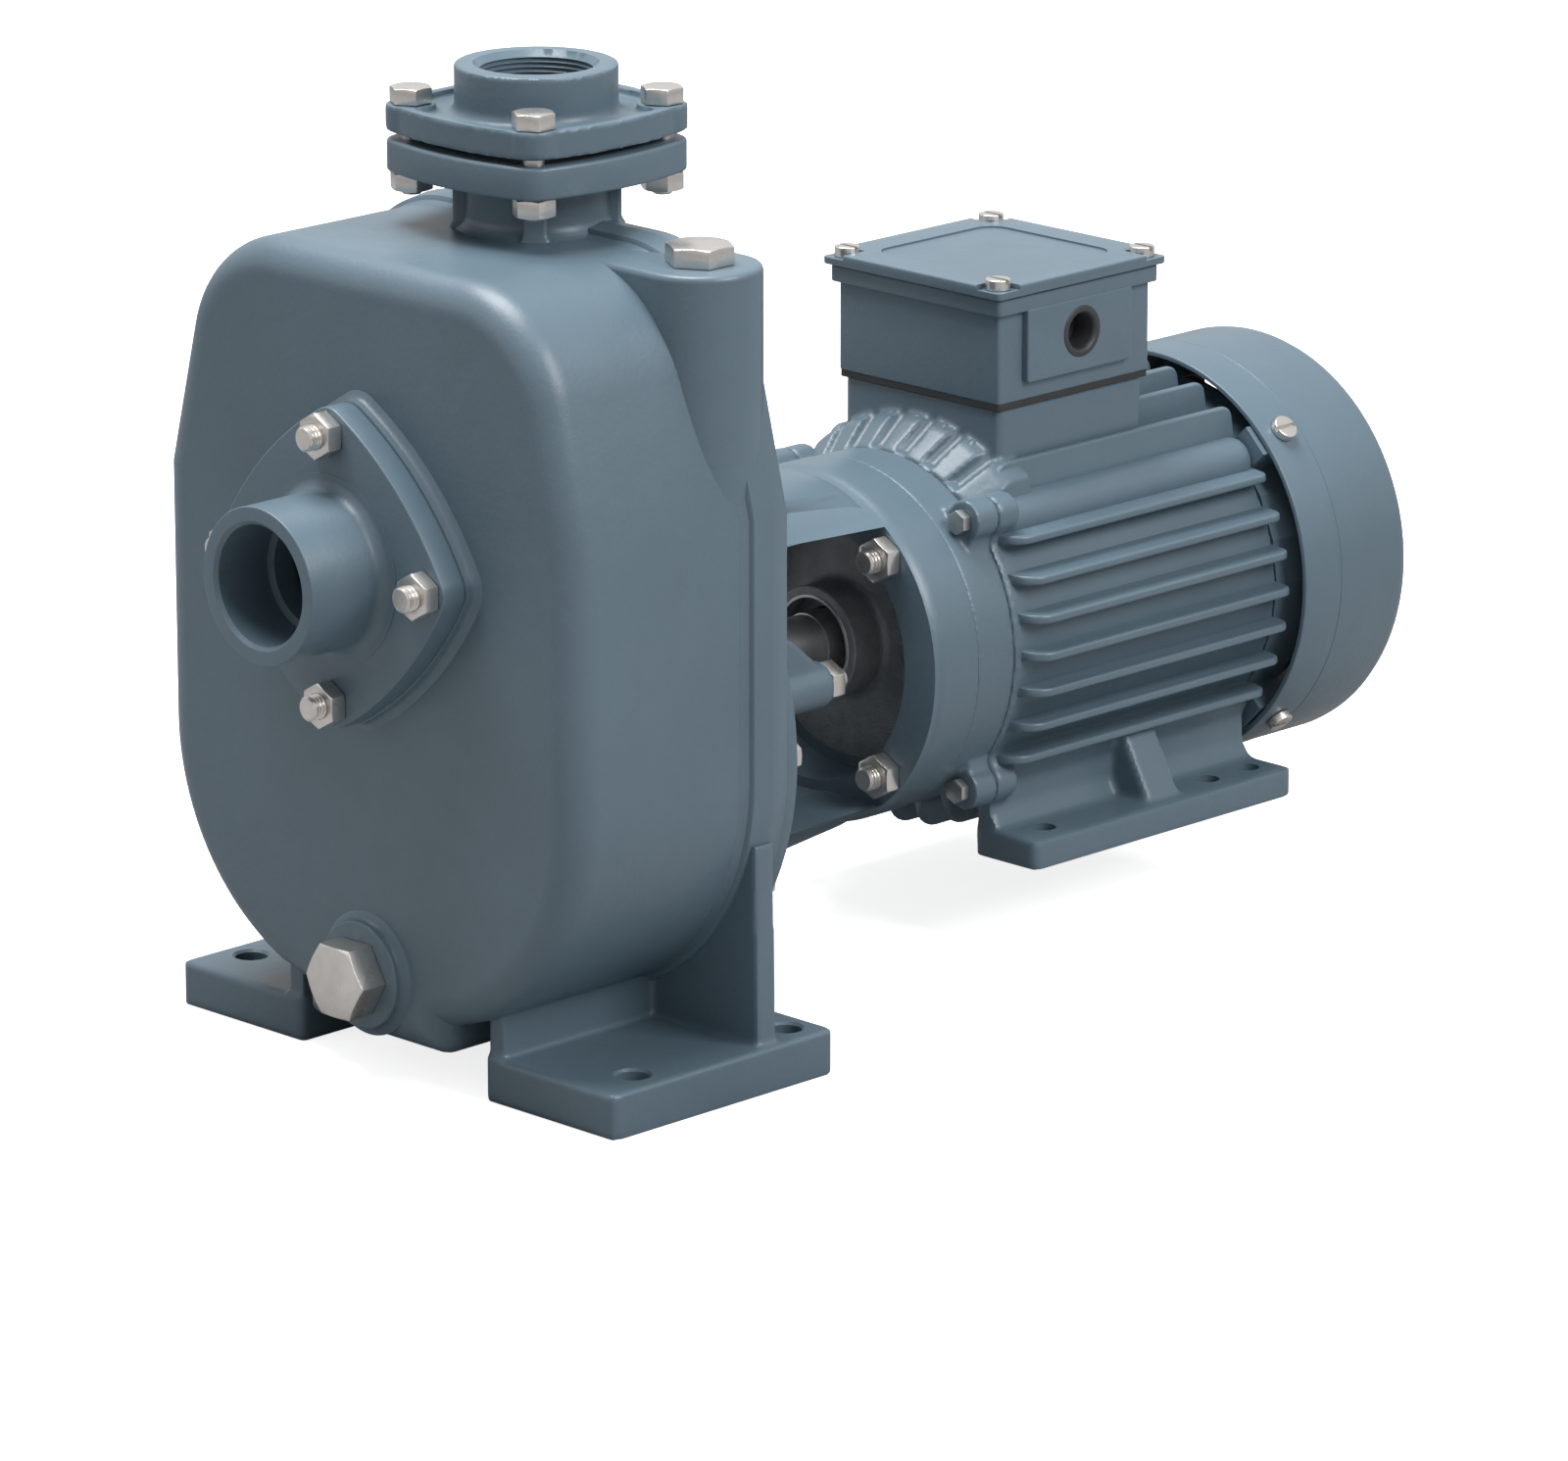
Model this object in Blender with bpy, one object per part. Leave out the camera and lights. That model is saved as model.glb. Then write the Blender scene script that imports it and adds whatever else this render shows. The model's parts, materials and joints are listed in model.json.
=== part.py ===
"""Self-priming slurry pump, close-coupled to a foot-mounted electric motor.

Metres, +Z up. The shaft runs along +Y, from the suction side to the motor's fan, and +X is the side
of the priming plug. Places along Y are counted from the front edge of the pump's feet, and one empty
moves the whole set so that the origin lies on the floor under the middle of its length.
"""
import math

import bmesh
import bpy
from mathutils import Matrix, Vector

# Fits and tolerances
GAP = 0.0003
RUNNING_GAP = 0.0007
OVERRUN = 0.003
MERGE = 0.00001
SHARP_ANGLE = math.radians(32)
FLAT_ANGLE = math.radians(0.1)

# Sides of round pieces
FINE_SIDES = 24
ROUND_SIDES = 20
INNER_SIDES = 12
SMALL_SIDES = 12
SCREW_SIDES = 8
HEX_SIDES = 6
FLANGE_ARC_STEPS = 3

# Pump feet
FOOT_HALF_SPAN = 0.1405
FOOT_INNER_EDGE = 0.060
FOOT_LENGTH = 0.1367
FOOT_THICKNESS = 0.0207
FOOT_CORNER = 0.005
FOOT_HOLE_X = 0.124
FOOT_HOLE_EDGE = 0.028
FOOT_HOLE_PITCH = 0.094
FOOT_HOLE_RADIUS = 0.0075
LEG_WALL = 0.009
LEG_REACH = 0.030
RIB_THICKNESS = 0.011
RIB_FOOT_X = 0.135
RIB_TOP_X = 0.1285
RIB_TOP_HEIGHT = 0.110

# Casing outline, seen from the suction side
CASING_HALF_WIDTH = 0.1324
CASING_TOP = 0.3696
SHOULDER_HEIGHT = 0.2593
CORNER_RADIUS = 0.060
CORNER_CENTRE_X = 0.0578
BELLY_RADIUS = 0.1134
BELLY_CENTRE_HEIGHT = 0.142
BELLY_END_ANGLE = math.radians(-67)
SUMP_HALF_WIDTH = 0.0455
SUMP_BOTTOM = 0.0176
SUMP_CORNER = 0.008
SUMP_WALL_HEIGHT = 0.014
OUTLINE_ARC_STEPS = 5

# Casing depth and walls
CASING_OVERHANG = 0.014
CASING_DEPTH = 0.105
CASING_FILLET = 0.015
FILLET_STEPS = 2
CASING_WALL = 0.007
LIP_THICKNESS = 0.0215
LIP_PROUD = 0.0025
LIP_RIDGE_PROUD = 0.0045
BACK_WALL = 0.0075
BACK_BORE_RADIUS = 0.1003
PARTITION_FRONT = 0.056
PARTITION_THICKNESS = 0.005
EYE_RADIUS = 0.028

# Priming column and plug
COLUMN_X = 0.104
COLUMN_Y = 0.090
COLUMN_RADIUS = 0.0275
COLUMN_HEIGHT = 0.084
COLUMN_DROP = 0.0006
COLUMN_STEPS = 6
PRIMING_BORE_RADIUS = 0.0105
PRIMING_BORE_DEPTH = 0.045
PRIMING_HEX = 0.027
PRIMING_HEAD = 0.0088
PRIMING_SHANK = 0.018

# Discharge neck and flanges
DISCHARGE_Y = 0.0926
DISCHARGE_BORE_RADIUS = 0.0251
NECK_RADIUS = 0.032
NECK_HEIGHT = 0.024
NECK_ROOT = 0.025
NECK_RIB_REACH = 0.0368
NECK_RIB_THICKNESS = 0.012
LOWER_FLANGE_THICKNESS = 0.0147
DISCHARGE_GASKET_THICKNESS = 0.0025
UPPER_FLANGE_THICKNESS = 0.0124
DISCHARGE_BOSS_HEIGHT = 0.018
DISCHARGE_BOSS_RADIUS = 0.036
DISCHARGE_BOLT_CIRCLE = 0.0549
DISCHARGE_CORNER = 0.0096
LOWER_CORNER_EXTRA = 0.0012
DISCHARGE_BULGE = 0.0030
DISCHARGE_GASKET_INSET = 0.006
FLANGE_POCKET_DEPTH = 0.0035
FLANGE_RIM = 0.0055

# Suction pad, gasket, flange and nozzle
SUCTION_HEIGHT = 0.2365
SUCTION_PORT_RADIUS = 0.0265
SUCTION_PAD_PROUD = 0.0045
SUCTION_PAD_EXTRA = 0.0045
SUCTION_STUD_CIRCLE = 0.0603
SUCTION_CORNER = 0.0117
SUCTION_BULGE = 0.0060
SUCTION_GASKET_THICKNESS = 0.001
SUCTION_FLANGE_THICKNESS = 0.0130
NOZZLE_LENGTH = 0.042
NOZZLE_RADIUS = 0.035
NOZZLE_FILLET = 0.004
NOZZLE_CHAMFER = 0.0018

# Drain boss and plug
DRAIN_HEIGHT = 0.049
DRAIN_BOSS_RADIUS = 0.0245
DRAIN_BOSS_PROUD = 0.006
DRAIN_BORE_RADIUS = 0.0125
DRAIN_HEX = 0.032
DRAIN_HEAD = 0.0147
DRAIN_SHANK = 0.016

# Fasteners: radius of the thread, width across flats, nut height, head height and stud end
STUD_RADIUS = 0.005
NUT_HEX = 0.017
NUT_HEIGHT = 0.008
HEAD_HEIGHT = 0.0064
STUD_END = 0.0058
STUD_GRIP = 0.0055
BOLT_CHAMFER = 0.001
NUT_CROWN = 0.002
COVER_NUT_HEX = 0.013
COVER_NUT_HEIGHT = 0.0068

# Check valve behind the suction port
FLAP_RADIUS = 0.0335
FLAP_THICKNESS = 0.005
FLAP_PIVOT_RISE = 0.041
FLAP_PIVOT_DEPTH = 0.0075
FLAP_EAR_HALF_WIDTH = 0.010
FLAP_EAR_RADIUS = 0.0055
FLAP_EAR_ROOT = 0.0165
PIN_RADIUS = 0.0025
LUG_THICKNESS = 0.005
LUG_RADIUS = 0.006
LUG_STEPS = 4

# Volute around the impeller
VOLUTE_START_RADIUS = 0.060
VOLUTE_GROWTH = 0.016
VOLUTE_WALL = 0.006
VOLUTE_MOUTH_ANGLE = math.radians(62)
VOLUTE_OPENING = math.radians(30)
VOLUTE_STEPS = 22

# Impeller
IMPELLER_RADIUS = 0.055
IMPELLER_TIP_GAP = 0.0015
SHROUD_THICKNESS = 0.006
SHROUD_BACK_GAP = 0.003
IMPELLER_HUB_RADIUS = 0.020
IMPELLER_NOSE_RADIUS = 0.016
VANE_COUNT = 5
VANE_THICKNESS = 0.0055
VANE_SWEEP = math.radians(75)
VANE_STEPS = 5
IMPELLER_NUT_HEX = 0.026
IMPELLER_NUT_HEIGHT = 0.009

# Seal housing behind the impeller
HOUSING_DISC_THICKNESS = 0.0135
HOUSING_SPIGOT_RADIUS = 0.0677
HOUSING_SPIGOT_RISE = 0.003
SEAL_NECK_RADIUS = 0.036
SEAL_NECK_LENGTH = 0.042
SEAL_NECK_TAPER = 0.007
SEAL_BORE_RADIUS = 0.023
SEAL_SEAT_BORE = 0.0165
SEAL_SEAT_LENGTH = 0.009
SEAL_LIP = 0.003
SEAL_RING_RADIUS = 0.0195
GLAND_LUG_X = 0.050
GLAND_LUG_RADIUS = 0.011
GLAND_LUG_LENGTH = 0.094
GLAND_WEB_RISE = 0.036
GLAND_WEB_THICKNESS = 0.014
GLAND_WEB_SETBACK = 0.006

# Lantern bracket
PLATE_RADIUS = 0.133
PLATE_THICKNESS = 0.0085
COVER_STUD_CIRCLE = 0.122
COVER_STUD_COUNT = 12
LANTERN_RADIUS = 0.0825
LANTERN_LENGTH = 0.1390
WINDOW_HALF_HEIGHT = 0.067
MOTOR_FLANGE_RADIUS = 0.0837
MOTOR_FLANGE_THICKNESS = 0.0273
MOTOR_FLANGE_BORE = 0.063
LANTERN_STUD_CIRCLE = 0.072

# Motor: centre height above its feet, frame, fins and feet
MOTOR_FEET_LEVEL = 0.045
CENTRE_HEIGHT = 0.100
FRAME_RADIUS = 0.0835
FRAME_BORE_RADIUS = 0.0763
FRAME_LENGTH = 0.1785
FIN_COUNT = 7
FIN_PITCH = 0.01735
FIN_THICKNESS = 0.0045
FIN_TIP_THICKNESS = 0.0030
SIDE_FIN_TIP_RADIUS = 0.0945
TOP_FIN_TIP_RADIUS = 0.0975
FIN_ROOT_RADIUS = 0.0799
FIN_FRONT_SETBACK = 0.004
FIN_NOSE = 0.006
LOBE_RADIUS = 0.0125
LOBE_CIRCLE = 0.0800
MOTOR_FOOT_HALF_SPAN = 0.0955
MOTOR_FOOT_WIDTH = 0.0393
MOTOR_FOOT_START = 0.0023
MOTOR_FOOT_LENGTH = 0.1750
MOTOR_FOOT_THICKNESS = 0.0143
MOTOR_FOOT_CORNER = 0.003
MOTOR_FOOT_HOLE_X = 0.080
MOTOR_FOOT_HOLE_EDGE = 0.0205
MOTOR_FOOT_HOLE_PITCH = 0.112
MOTOR_FOOT_HOLE_SPACING = 0.028
MOTOR_FOOT_HOLE_RADIUS = 0.006
MOTOR_LEG_WALL = 0.009
MOTOR_LEG_FLARE = 0.009
MOTOR_LEG_TOP = 0.048
MOTOR_RIB_THICKNESS = 0.014
MOTOR_RIB_START = 0.078
MOTOR_RIB_INSET = 0.005

# Motor end shields and bearings
SHIELD_RADIUS = 0.0835
SHIELD_THICKNESS = 0.0239
SHIELD_COLLAR_RADIUS = 0.027
SHIELD_COLLAR_LENGTH = 0.0229
COLLAR_RECESS_RADIUS = 0.022
COLLAR_RECESS_DEPTH = 0.010
BEARING_POCKET_DEPTH = 0.017
BEARING_WIDTH = 0.016
BEARING_RADIUS = 0.031
REAR_BEARING_RADIUS = 0.026
SHIELD_LUG_CIRCLE = 0.0900
SHIELD_LUG_RADIUS = 0.0095
SHIELD_LUG_THICKNESS = 0.014
SHIELD_BOLT_RADIUS = 0.003
SHIELD_BOLT_HEX = 0.010
SHIELD_BOLT_HEAD = 0.005
SHIELD_BOLT_GRIP = 0.007
REAR_SHIELD_RADIUS = 0.0830
REAR_SHIELD_THICKNESS = 0.024
REAR_SHIELD_WEB = 0.008
REAR_LUG_WIDTH = 0.016
REAR_LUG_CLEARANCE = 0.0014
REAR_HUB_WALL = 0.009

# Shaft, rotor and stator
SHAFT_TIP_RADIUS = 0.010
SHAFT_SEAL_RADIUS = 0.0145
SHAFT_BEARING_RADIUS = 0.015
SHAFT_CORE_RADIUS = 0.018
SHAFT_FAN_RADIUS = 0.011
ROTOR_RADIUS = 0.0470
CORE_LENGTH = 0.100
CORE_START = 0.040
STATOR_BORE_RADIUS = 0.0485
WINDING_OVERHANG = 0.022
WINDING_RADIUS = 0.068

# Cooling fan and its cover
COVER_STANDOFF = 0.0035
COVER_RADIUS = 0.0987
COVER_LENGTH = 0.0757
COVER_WALL = 0.002
COVER_BEND = 0.010
COVER_BEND_STEPS = 2
COVER_SCREW_PLACE = 0.0135
COVER_SCREW_RADIUS = 0.0025
COVER_SCREW_HEAD_RADIUS = 0.0055
COVER_SCREW_HEAD = 0.004
COVER_SCREW_DEPTH = 0.010
GRILLE_INNER_RADIUS = 0.022
GRILLE_RING_PITCH = 0.022
GRILLE_RINGS = 3
GRILLE_SLOT_WIDTH = 0.013
GRILLE_SPOKES = 4
GRILLE_SPOKE_WIDTH = 0.008
GRILLE_ARC_STEPS = 3
FAN_RADIUS = 0.082
FAN_HUB_RADIUS = 0.018
FAN_HUB_LENGTH = 0.028
FAN_DISC_THICKNESS = 0.003
FAN_BLADE_COUNT = 7
FAN_BLADE_THICKNESS = 0.0025
FAN_BLADE_SINK = 0.003
FAN_START = 0.029

# Terminal box
BOX_Y = 0.3842
BOX_HALF_X = 0.0500
BOX_HALF_Y = 0.0490
PEDESTAL_HALF = 0.0458
PEDESTAL_TOP = 0.2500
PEDESTAL_ROOT = 0.038
PEDESTAL_BORE_RADIUS = 0.020
BOX_GASKET_THICKNESS = 0.0015
BOX_HEIGHT = 0.0520
BOX_WALL = 0.004
BOX_CORNER = 0.003
BOX_LIP_PROUD = 0.0035
BOX_LIP_HEIGHT = 0.008
LID_HALF_X = 0.0556
LID_HALF_Y = 0.0558
LID_THICKNESS = 0.0058
LID_CORNER = 0.004
LID_PANEL_INSET = 0.009
LID_PANEL_DEPTH = 0.0010
LID_NOTCH_RADIUS = 0.008
LID_NOTCH_STEPS = 3
LID_SCREW_INSET = 0.0075
LID_SCREW_RADIUS = 0.0025
LID_SCREW_HEAD_RADIUS = 0.0053
LID_SCREW_HEAD = 0.0055
LID_SCREW_DEPTH = 0.006
LID_BOSS_HALF = 0.0036
ENTRY_RISE = 0.029
ENTRY_PAD_PROUD = 0.0035
ENTRY_PAD_HALF_Y = 0.040
ENTRY_PAD_HALF_Z = 0.017
ENTRY_SHIFT = 0.001
ENTRY_BUSH_RADIUS = 0.0122
ENTRY_BORE_RADIUS = 0.0082
ENTRY_HOLE_RADIUS = 0.0102
ENTRY_BUSH_RIM_PROUD = 0.0015
BOARD_HALF_X = 0.022
BOARD_HALF_Y = 0.016
BOARD_THICKNESS = 0.006
TERMINAL_RADIUS = 0.0025
TERMINAL_HEIGHT = 0.012
TERMINAL_PITCH = 0.013

# Stations along the shaft, worked out from the sizes above
CASING_FRONT = -CASING_OVERHANG
LIP_FRONT = CASING_FRONT + CASING_DEPTH
CASING_BACK = LIP_FRONT + LIP_THICKNESS
CAVITY_BACK = CASING_BACK - BACK_WALL
PLATE_FRONT = CASING_BACK + GAP
PLATE_BACK = PLATE_FRONT + PLATE_THICKNESS
MOTOR_FLANGE_FRONT = PLATE_BACK + LANTERN_LENGTH
MOTOR_FLANGE_BACK = MOTOR_FLANGE_FRONT + MOTOR_FLANGE_THICKNESS
SHIELD_FRONT = MOTOR_FLANGE_BACK + GAP
SHIELD_BACK = SHIELD_FRONT + SHIELD_THICKNESS
FRAME_FRONT = SHIELD_BACK + GAP
FRAME_BACK = FRAME_FRONT + FRAME_LENGTH
REAR_SHIELD_FRONT = FRAME_BACK + GAP
REAR_SHIELD_BACK = REAR_SHIELD_FRONT + REAR_SHIELD_THICKNESS
COVER_FRONT = FRAME_BACK + COVER_STANDOFF
COVER_BACK = COVER_FRONT + COVER_LENGTH
SUCTION_PAD_FACE = CASING_FRONT - SUCTION_PAD_PROUD
SUCTION_FLANGE_BACK = SUCTION_PAD_FACE - SUCTION_GASKET_THICKNESS - 2 * GAP
SUCTION_FLANGE_FRONT = SUCTION_FLANGE_BACK - SUCTION_FLANGE_THICKNESS
NOZZLE_TIP = SUCTION_FLANGE_FRONT - NOZZLE_LENGTH
DRAIN_FACE = CASING_FRONT - DRAIN_BOSS_PROUD
PARTITION_BACK = PARTITION_FRONT + PARTITION_THICKNESS
HOUSING_FRONT = CASING_BACK - HOUSING_DISC_THICKNESS
SHROUD_BACK = HOUSING_FRONT - SHROUD_BACK_GAP
SHROUD_FRONT = SHROUD_BACK - SHROUD_THICKNESS
VANE_FRONT = PARTITION_BACK + IMPELLER_TIP_GAP
HOUSING_SPIGOT_BACK = PLATE_BACK + HOUSING_SPIGOT_RISE
SEAL_NECK_BACK = HOUSING_SPIGOT_BACK + SEAL_NECK_LENGTH
SEAL_SEAT_BACK = SEAL_NECK_BACK - SEAL_LIP
SEAL_SEAT_FRONT = SEAL_SEAT_BACK - SEAL_SEAT_LENGTH
GLAND_LUG_BACK = HOUSING_SPIGOT_BACK + GLAND_LUG_LENGTH
ENTRY_FACE = BOX_HALF_X + ENTRY_PAD_PROUD
MIDDLE = (NOZZLE_TIP + COVER_BACK) / 2

# Heights, worked out from the sizes above
SHAFT_HEIGHT = MOTOR_FEET_LEVEL + CENTRE_HEIGHT
NECK_TOP = CASING_TOP + NECK_HEIGHT
LOWER_FLANGE_TOP = NECK_TOP + LOWER_FLANGE_THICKNESS
DISCHARGE_GASKET_BOTTOM = LOWER_FLANGE_TOP + GAP
UPPER_FLANGE_BOTTOM = DISCHARGE_GASKET_BOTTOM + DISCHARGE_GASKET_THICKNESS + GAP
UPPER_FLANGE_TOP = UPPER_FLANGE_BOTTOM + UPPER_FLANGE_THICKNESS
DISCHARGE_TOP = UPPER_FLANGE_TOP + DISCHARGE_BOSS_HEIGHT
COLUMN_TOP = CASING_TOP - COLUMN_DROP
BOX_BOTTOM = PEDESTAL_TOP + BOX_GASKET_THICKNESS + 2 * GAP
BOX_TOP = BOX_BOTTOM + BOX_HEIGHT
LID_BOTTOM = BOX_TOP + GAP
LID_TOP = LID_BOTTOM + LID_THICKNESS
ENTRY_HEIGHT = BOX_BOTTOM + ENTRY_RISE
FLAP_PIVOT = (CASING_FRONT + CASING_WALL + FLAP_PIVOT_DEPTH, SUCTION_HEIGHT + FLAP_PIVOT_RISE)

DIAGONALS = [math.radians(45 + 90 * quarter) for quarter in range(4)]
QUARTERS = [math.radians(90 * quarter) for quarter in range(4)]
SIXTHS = [math.radians(60 * side) for side in range(HEX_SIDES)]
CORNER_SIGNS = [(1, -1), (1, 1), (-1, 1), (-1, -1)]
OUTLINE_SIGNS = [(1, 1), (-1, 1), (-1, -1), (1, -1)]


def clear_scene():
    for item in list(bpy.data.objects):
        bpy.data.objects.remove(item)


def make_material(name, colour, roughness, metallic):
    material = bpy.data.materials.new(name)
    material.use_nodes = True
    shader = material.node_tree.nodes["Principled BSDF"]
    shader.inputs["Base Color"].default_value = (*colour, 1)
    shader.inputs["Roughness"].default_value = roughness
    shader.inputs["Metallic"].default_value = metallic
    return material


def shape_point(pair, axis, along):
    """Place a point of a flat outline: (x, z) across Y, (x, y) across Z or (y, z) across X."""
    first, second = pair
    if axis == "Y":
        return Vector((first, along, second))
    if axis == "Z":
        return Vector((first, second, along))
    return Vector((along, first, second))


def loft(sections, axis):
    """Join outlines with equal counts of points, given as (outline, along), into a closed solid."""
    bm = bmesh.new()
    rings = []
    for outline, along in sections:
        rings.append([bm.verts.new(shape_point(pair, axis, along)) for pair in outline])
    for near, far in zip(rings, rings[1:]):
        for place in range(len(near)):
            bm.faces.new((near[place - 1], near[place], far[place], far[place - 1]))
    bm.faces.new(rings[0])
    bm.faces.new(rings[-1])
    bmesh.ops.recalc_face_normals(bm, faces=bm.faces)
    return bm


def prism(outline, axis, start, end):
    return loft([(outline, start), (outline, end)], axis)


def turned(profile, sides):
    """Revolve (radius, along) points about the Y axis; a profile clear of the axis makes a ring."""
    bm = bmesh.new()
    verts = [bm.verts.new((radius, along, 0)) for radius, along in profile]
    edges = [bm.edges.new(pair) for pair in zip(verts, verts[1:])]
    if profile[0][0] > 0:
        edges.append(bm.edges.new((verts[-1], verts[0])))
    bmesh.ops.spin(bm, geom=verts + edges, axis=(0, 1, 0), cent=(0, 0, 0),
                   angle=math.tau, steps=sides, use_merge=True)
    bmesh.ops.remove_doubles(bm, verts=bm.verts, dist=MERGE)
    bmesh.ops.dissolve_limit(bm, angle_limit=FLAT_ANGLE, verts=bm.verts, edges=bm.edges)
    bmesh.ops.recalc_face_normals(bm, faces=bm.faces)
    return bm


def cylinder(radius, start, end, sides):
    return turned([(0, start), (radius, start), (radius, end), (0, end)], sides)


def tube(outer, inner, start, end, sides):
    return turned([(inner, start), (outer, start), (outer, end), (inner, end)], sides)


def placed(bm, offset=(0, 0, 0), turn=0, about="Y"):
    """Turn a shape about an axis through the origin, then shift it."""
    bmesh.ops.transform(bm, matrix=Matrix.Translation(offset) @ Matrix.Rotation(turn, 4, about),
                        verts=bm.verts)
    return bm


def gathered(shapes):
    """Several shapes that don't touch, as one mesh for a cutter."""
    whole = bmesh.new()
    for shape in shapes:
        mesh = bpy.data.meshes.new("piece")
        shape.to_mesh(mesh)
        shape.free()
        whole.from_mesh(mesh)
        bpy.data.meshes.remove(mesh)
    return whole


def upright(bm):
    """Stand a shape turned about Y on end, so that +Y becomes +Z."""
    return placed(bm, turn=math.radians(90), about="X")


def sideways(bm):
    """Lay a shape turned about Y along X."""
    return placed(bm, turn=math.radians(-90), about="Z")


def arc(centre, radius, start, end, steps):
    turns = [start + (end - start) * step / steps for step in range(steps + 1)]
    return [(centre[0] + radius * math.cos(turn), centre[1] + radius * math.sin(turn)) for turn in turns]


def rectangle(half_x, half_y, centre=(0, 0)):
    return [(centre[0] + sign_x * half_x, centre[1] + sign_y * half_y) for sign_x, sign_y in CORNER_SIGNS]


def rounded_rectangle(half_x, half_y, radius, steps, centre=(0, 0)):
    points = []
    for quarter, (sign_x, sign_y) in zip(QUARTERS, OUTLINE_SIGNS):
        middle = (centre[0] + sign_x * (half_x - radius), centre[1] + sign_y * (half_y - radius))
        points += arc(middle, radius, quarter, quarter + math.pi / 2, steps)
    return points


def bulged_square(corner_circle, corner_radius, bulge, first_corner, centre, steps):
    """Square with round corners centred on its fasteners, and sides that are shallow outward arcs."""
    side = corner_circle / math.sqrt(2) + bulge
    setback = (corner_circle ** 2 - side ** 2) / (2 * side - math.sqrt(2) * corner_circle)
    side_radius = side + corner_radius + setback
    points = []
    for quarter in QUARTERS:
        turn = first_corner + quarter
        corner = Vector((math.cos(turn), math.sin(turn))) * corner_circle
        behind = turn + math.radians(45) + math.pi
        focus = Vector((math.cos(behind), math.sin(behind))) * setback
        lean = (corner - focus).angle_signed(Vector((1, 0)))
        half_corner = lean - turn
        half_corner = (half_corner + math.pi) % math.tau - math.pi
        points += arc(centre + corner, corner_radius, turn - half_corner, turn + half_corner, steps)
        sweep = math.radians(90) - 2 * half_corner
        side_arc = arc(centre + focus, side_radius, turn + half_corner, turn + half_corner + sweep, steps)
        points += side_arc[1:-1]
    return points


def casing_outline(grow):
    """The casing seen from the front, (x, z), with every wall moved out by grow."""
    corner = Vector((CORNER_CENTRE_X, CASING_TOP - CORNER_RADIUS))
    shoulder = Vector((CASING_HALF_WIDTH, SHOULDER_HEIGHT))
    to_corner = corner - shoulder
    heading = math.atan2(to_corner.y, to_corner.x) - math.asin(CORNER_RADIUS / to_corner.length)
    taper = heading - math.radians(90)
    belly = Vector((CASING_HALF_WIDTH - BELLY_RADIUS, BELLY_CENTRE_HEIGHT))
    sump_half = SUMP_HALF_WIDTH + grow
    sump_bottom = SUMP_BOTTOM - grow
    half = [(sump_half - SUMP_CORNER, sump_bottom),
            (sump_half, sump_bottom + SUMP_CORNER),
            (sump_half, sump_bottom + SUMP_WALL_HEIGHT)]
    half += arc(belly, BELLY_RADIUS + grow, BELLY_END_ANGLE, 0, OUTLINE_ARC_STEPS)
    half.append((CASING_HALF_WIDTH + grow, SHOULDER_HEIGHT + grow * math.tan(taper / 2)))
    half += arc(corner, CORNER_RADIUS + grow, taper, math.radians(90), OUTLINE_ARC_STEPS)
    return half + [(-x, z) for x, z in reversed(half)]


def round_front_edges(bm, front, radius, steps):
    """Fillet the edges that lie in the plane y = front."""
    edges = [edge for edge in bm.edges if all(abs(vert.co.y - front) < MERGE for vert in edge.verts)]
    bmesh.ops.bevel(bm, geom=edges, offset=radius, segments=steps, profile=0.5,
                    affect="EDGES", clamp_overlap=True, material=-1)
    bmesh.ops.recalc_face_normals(bm, faces=bm.faces)
    return bm


def hexagon(corner_radius):
    return [(corner_radius * math.cos(turn), corner_radius * math.sin(turn)) for turn in SIXTHS]


def rod(start, radius, end):
    return [(hexagon(radius), start), (hexagon(radius), end)]


def nut_sections(start, width, end):
    """A hexagon of that width over its flats, chamfered at the outer end, the one at end."""
    chamfer = math.copysign(BOLT_CHAMFER, end - start)
    corner = width / math.sqrt(3)
    return [(hexagon(corner), start), (hexagon(corner), end - chamfer), (hexagon(width / 2), end)]


def stud_and_nut(root, seat, nut_hex, nut_height):
    """A stud along +Y from its root, with a nut on the seat and the stud's end beyond it."""
    nut_back = seat + GAP
    nut_face = nut_back + nut_height
    return loft(rod(root, STUD_RADIUS, nut_back) + nut_sections(nut_back, nut_hex, nut_face)
                + rod(nut_face, STUD_RADIUS, nut_face + STUD_END), "Y")


def reversed_along_y(bm):
    return placed(bm, turn=math.pi, about="Z")


def around(circle, turns, height=0):
    """Places (x, z) on a circle about a level axis at that height."""
    return [(circle * math.cos(turn), height + circle * math.sin(turn)) for turn in turns]


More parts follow.
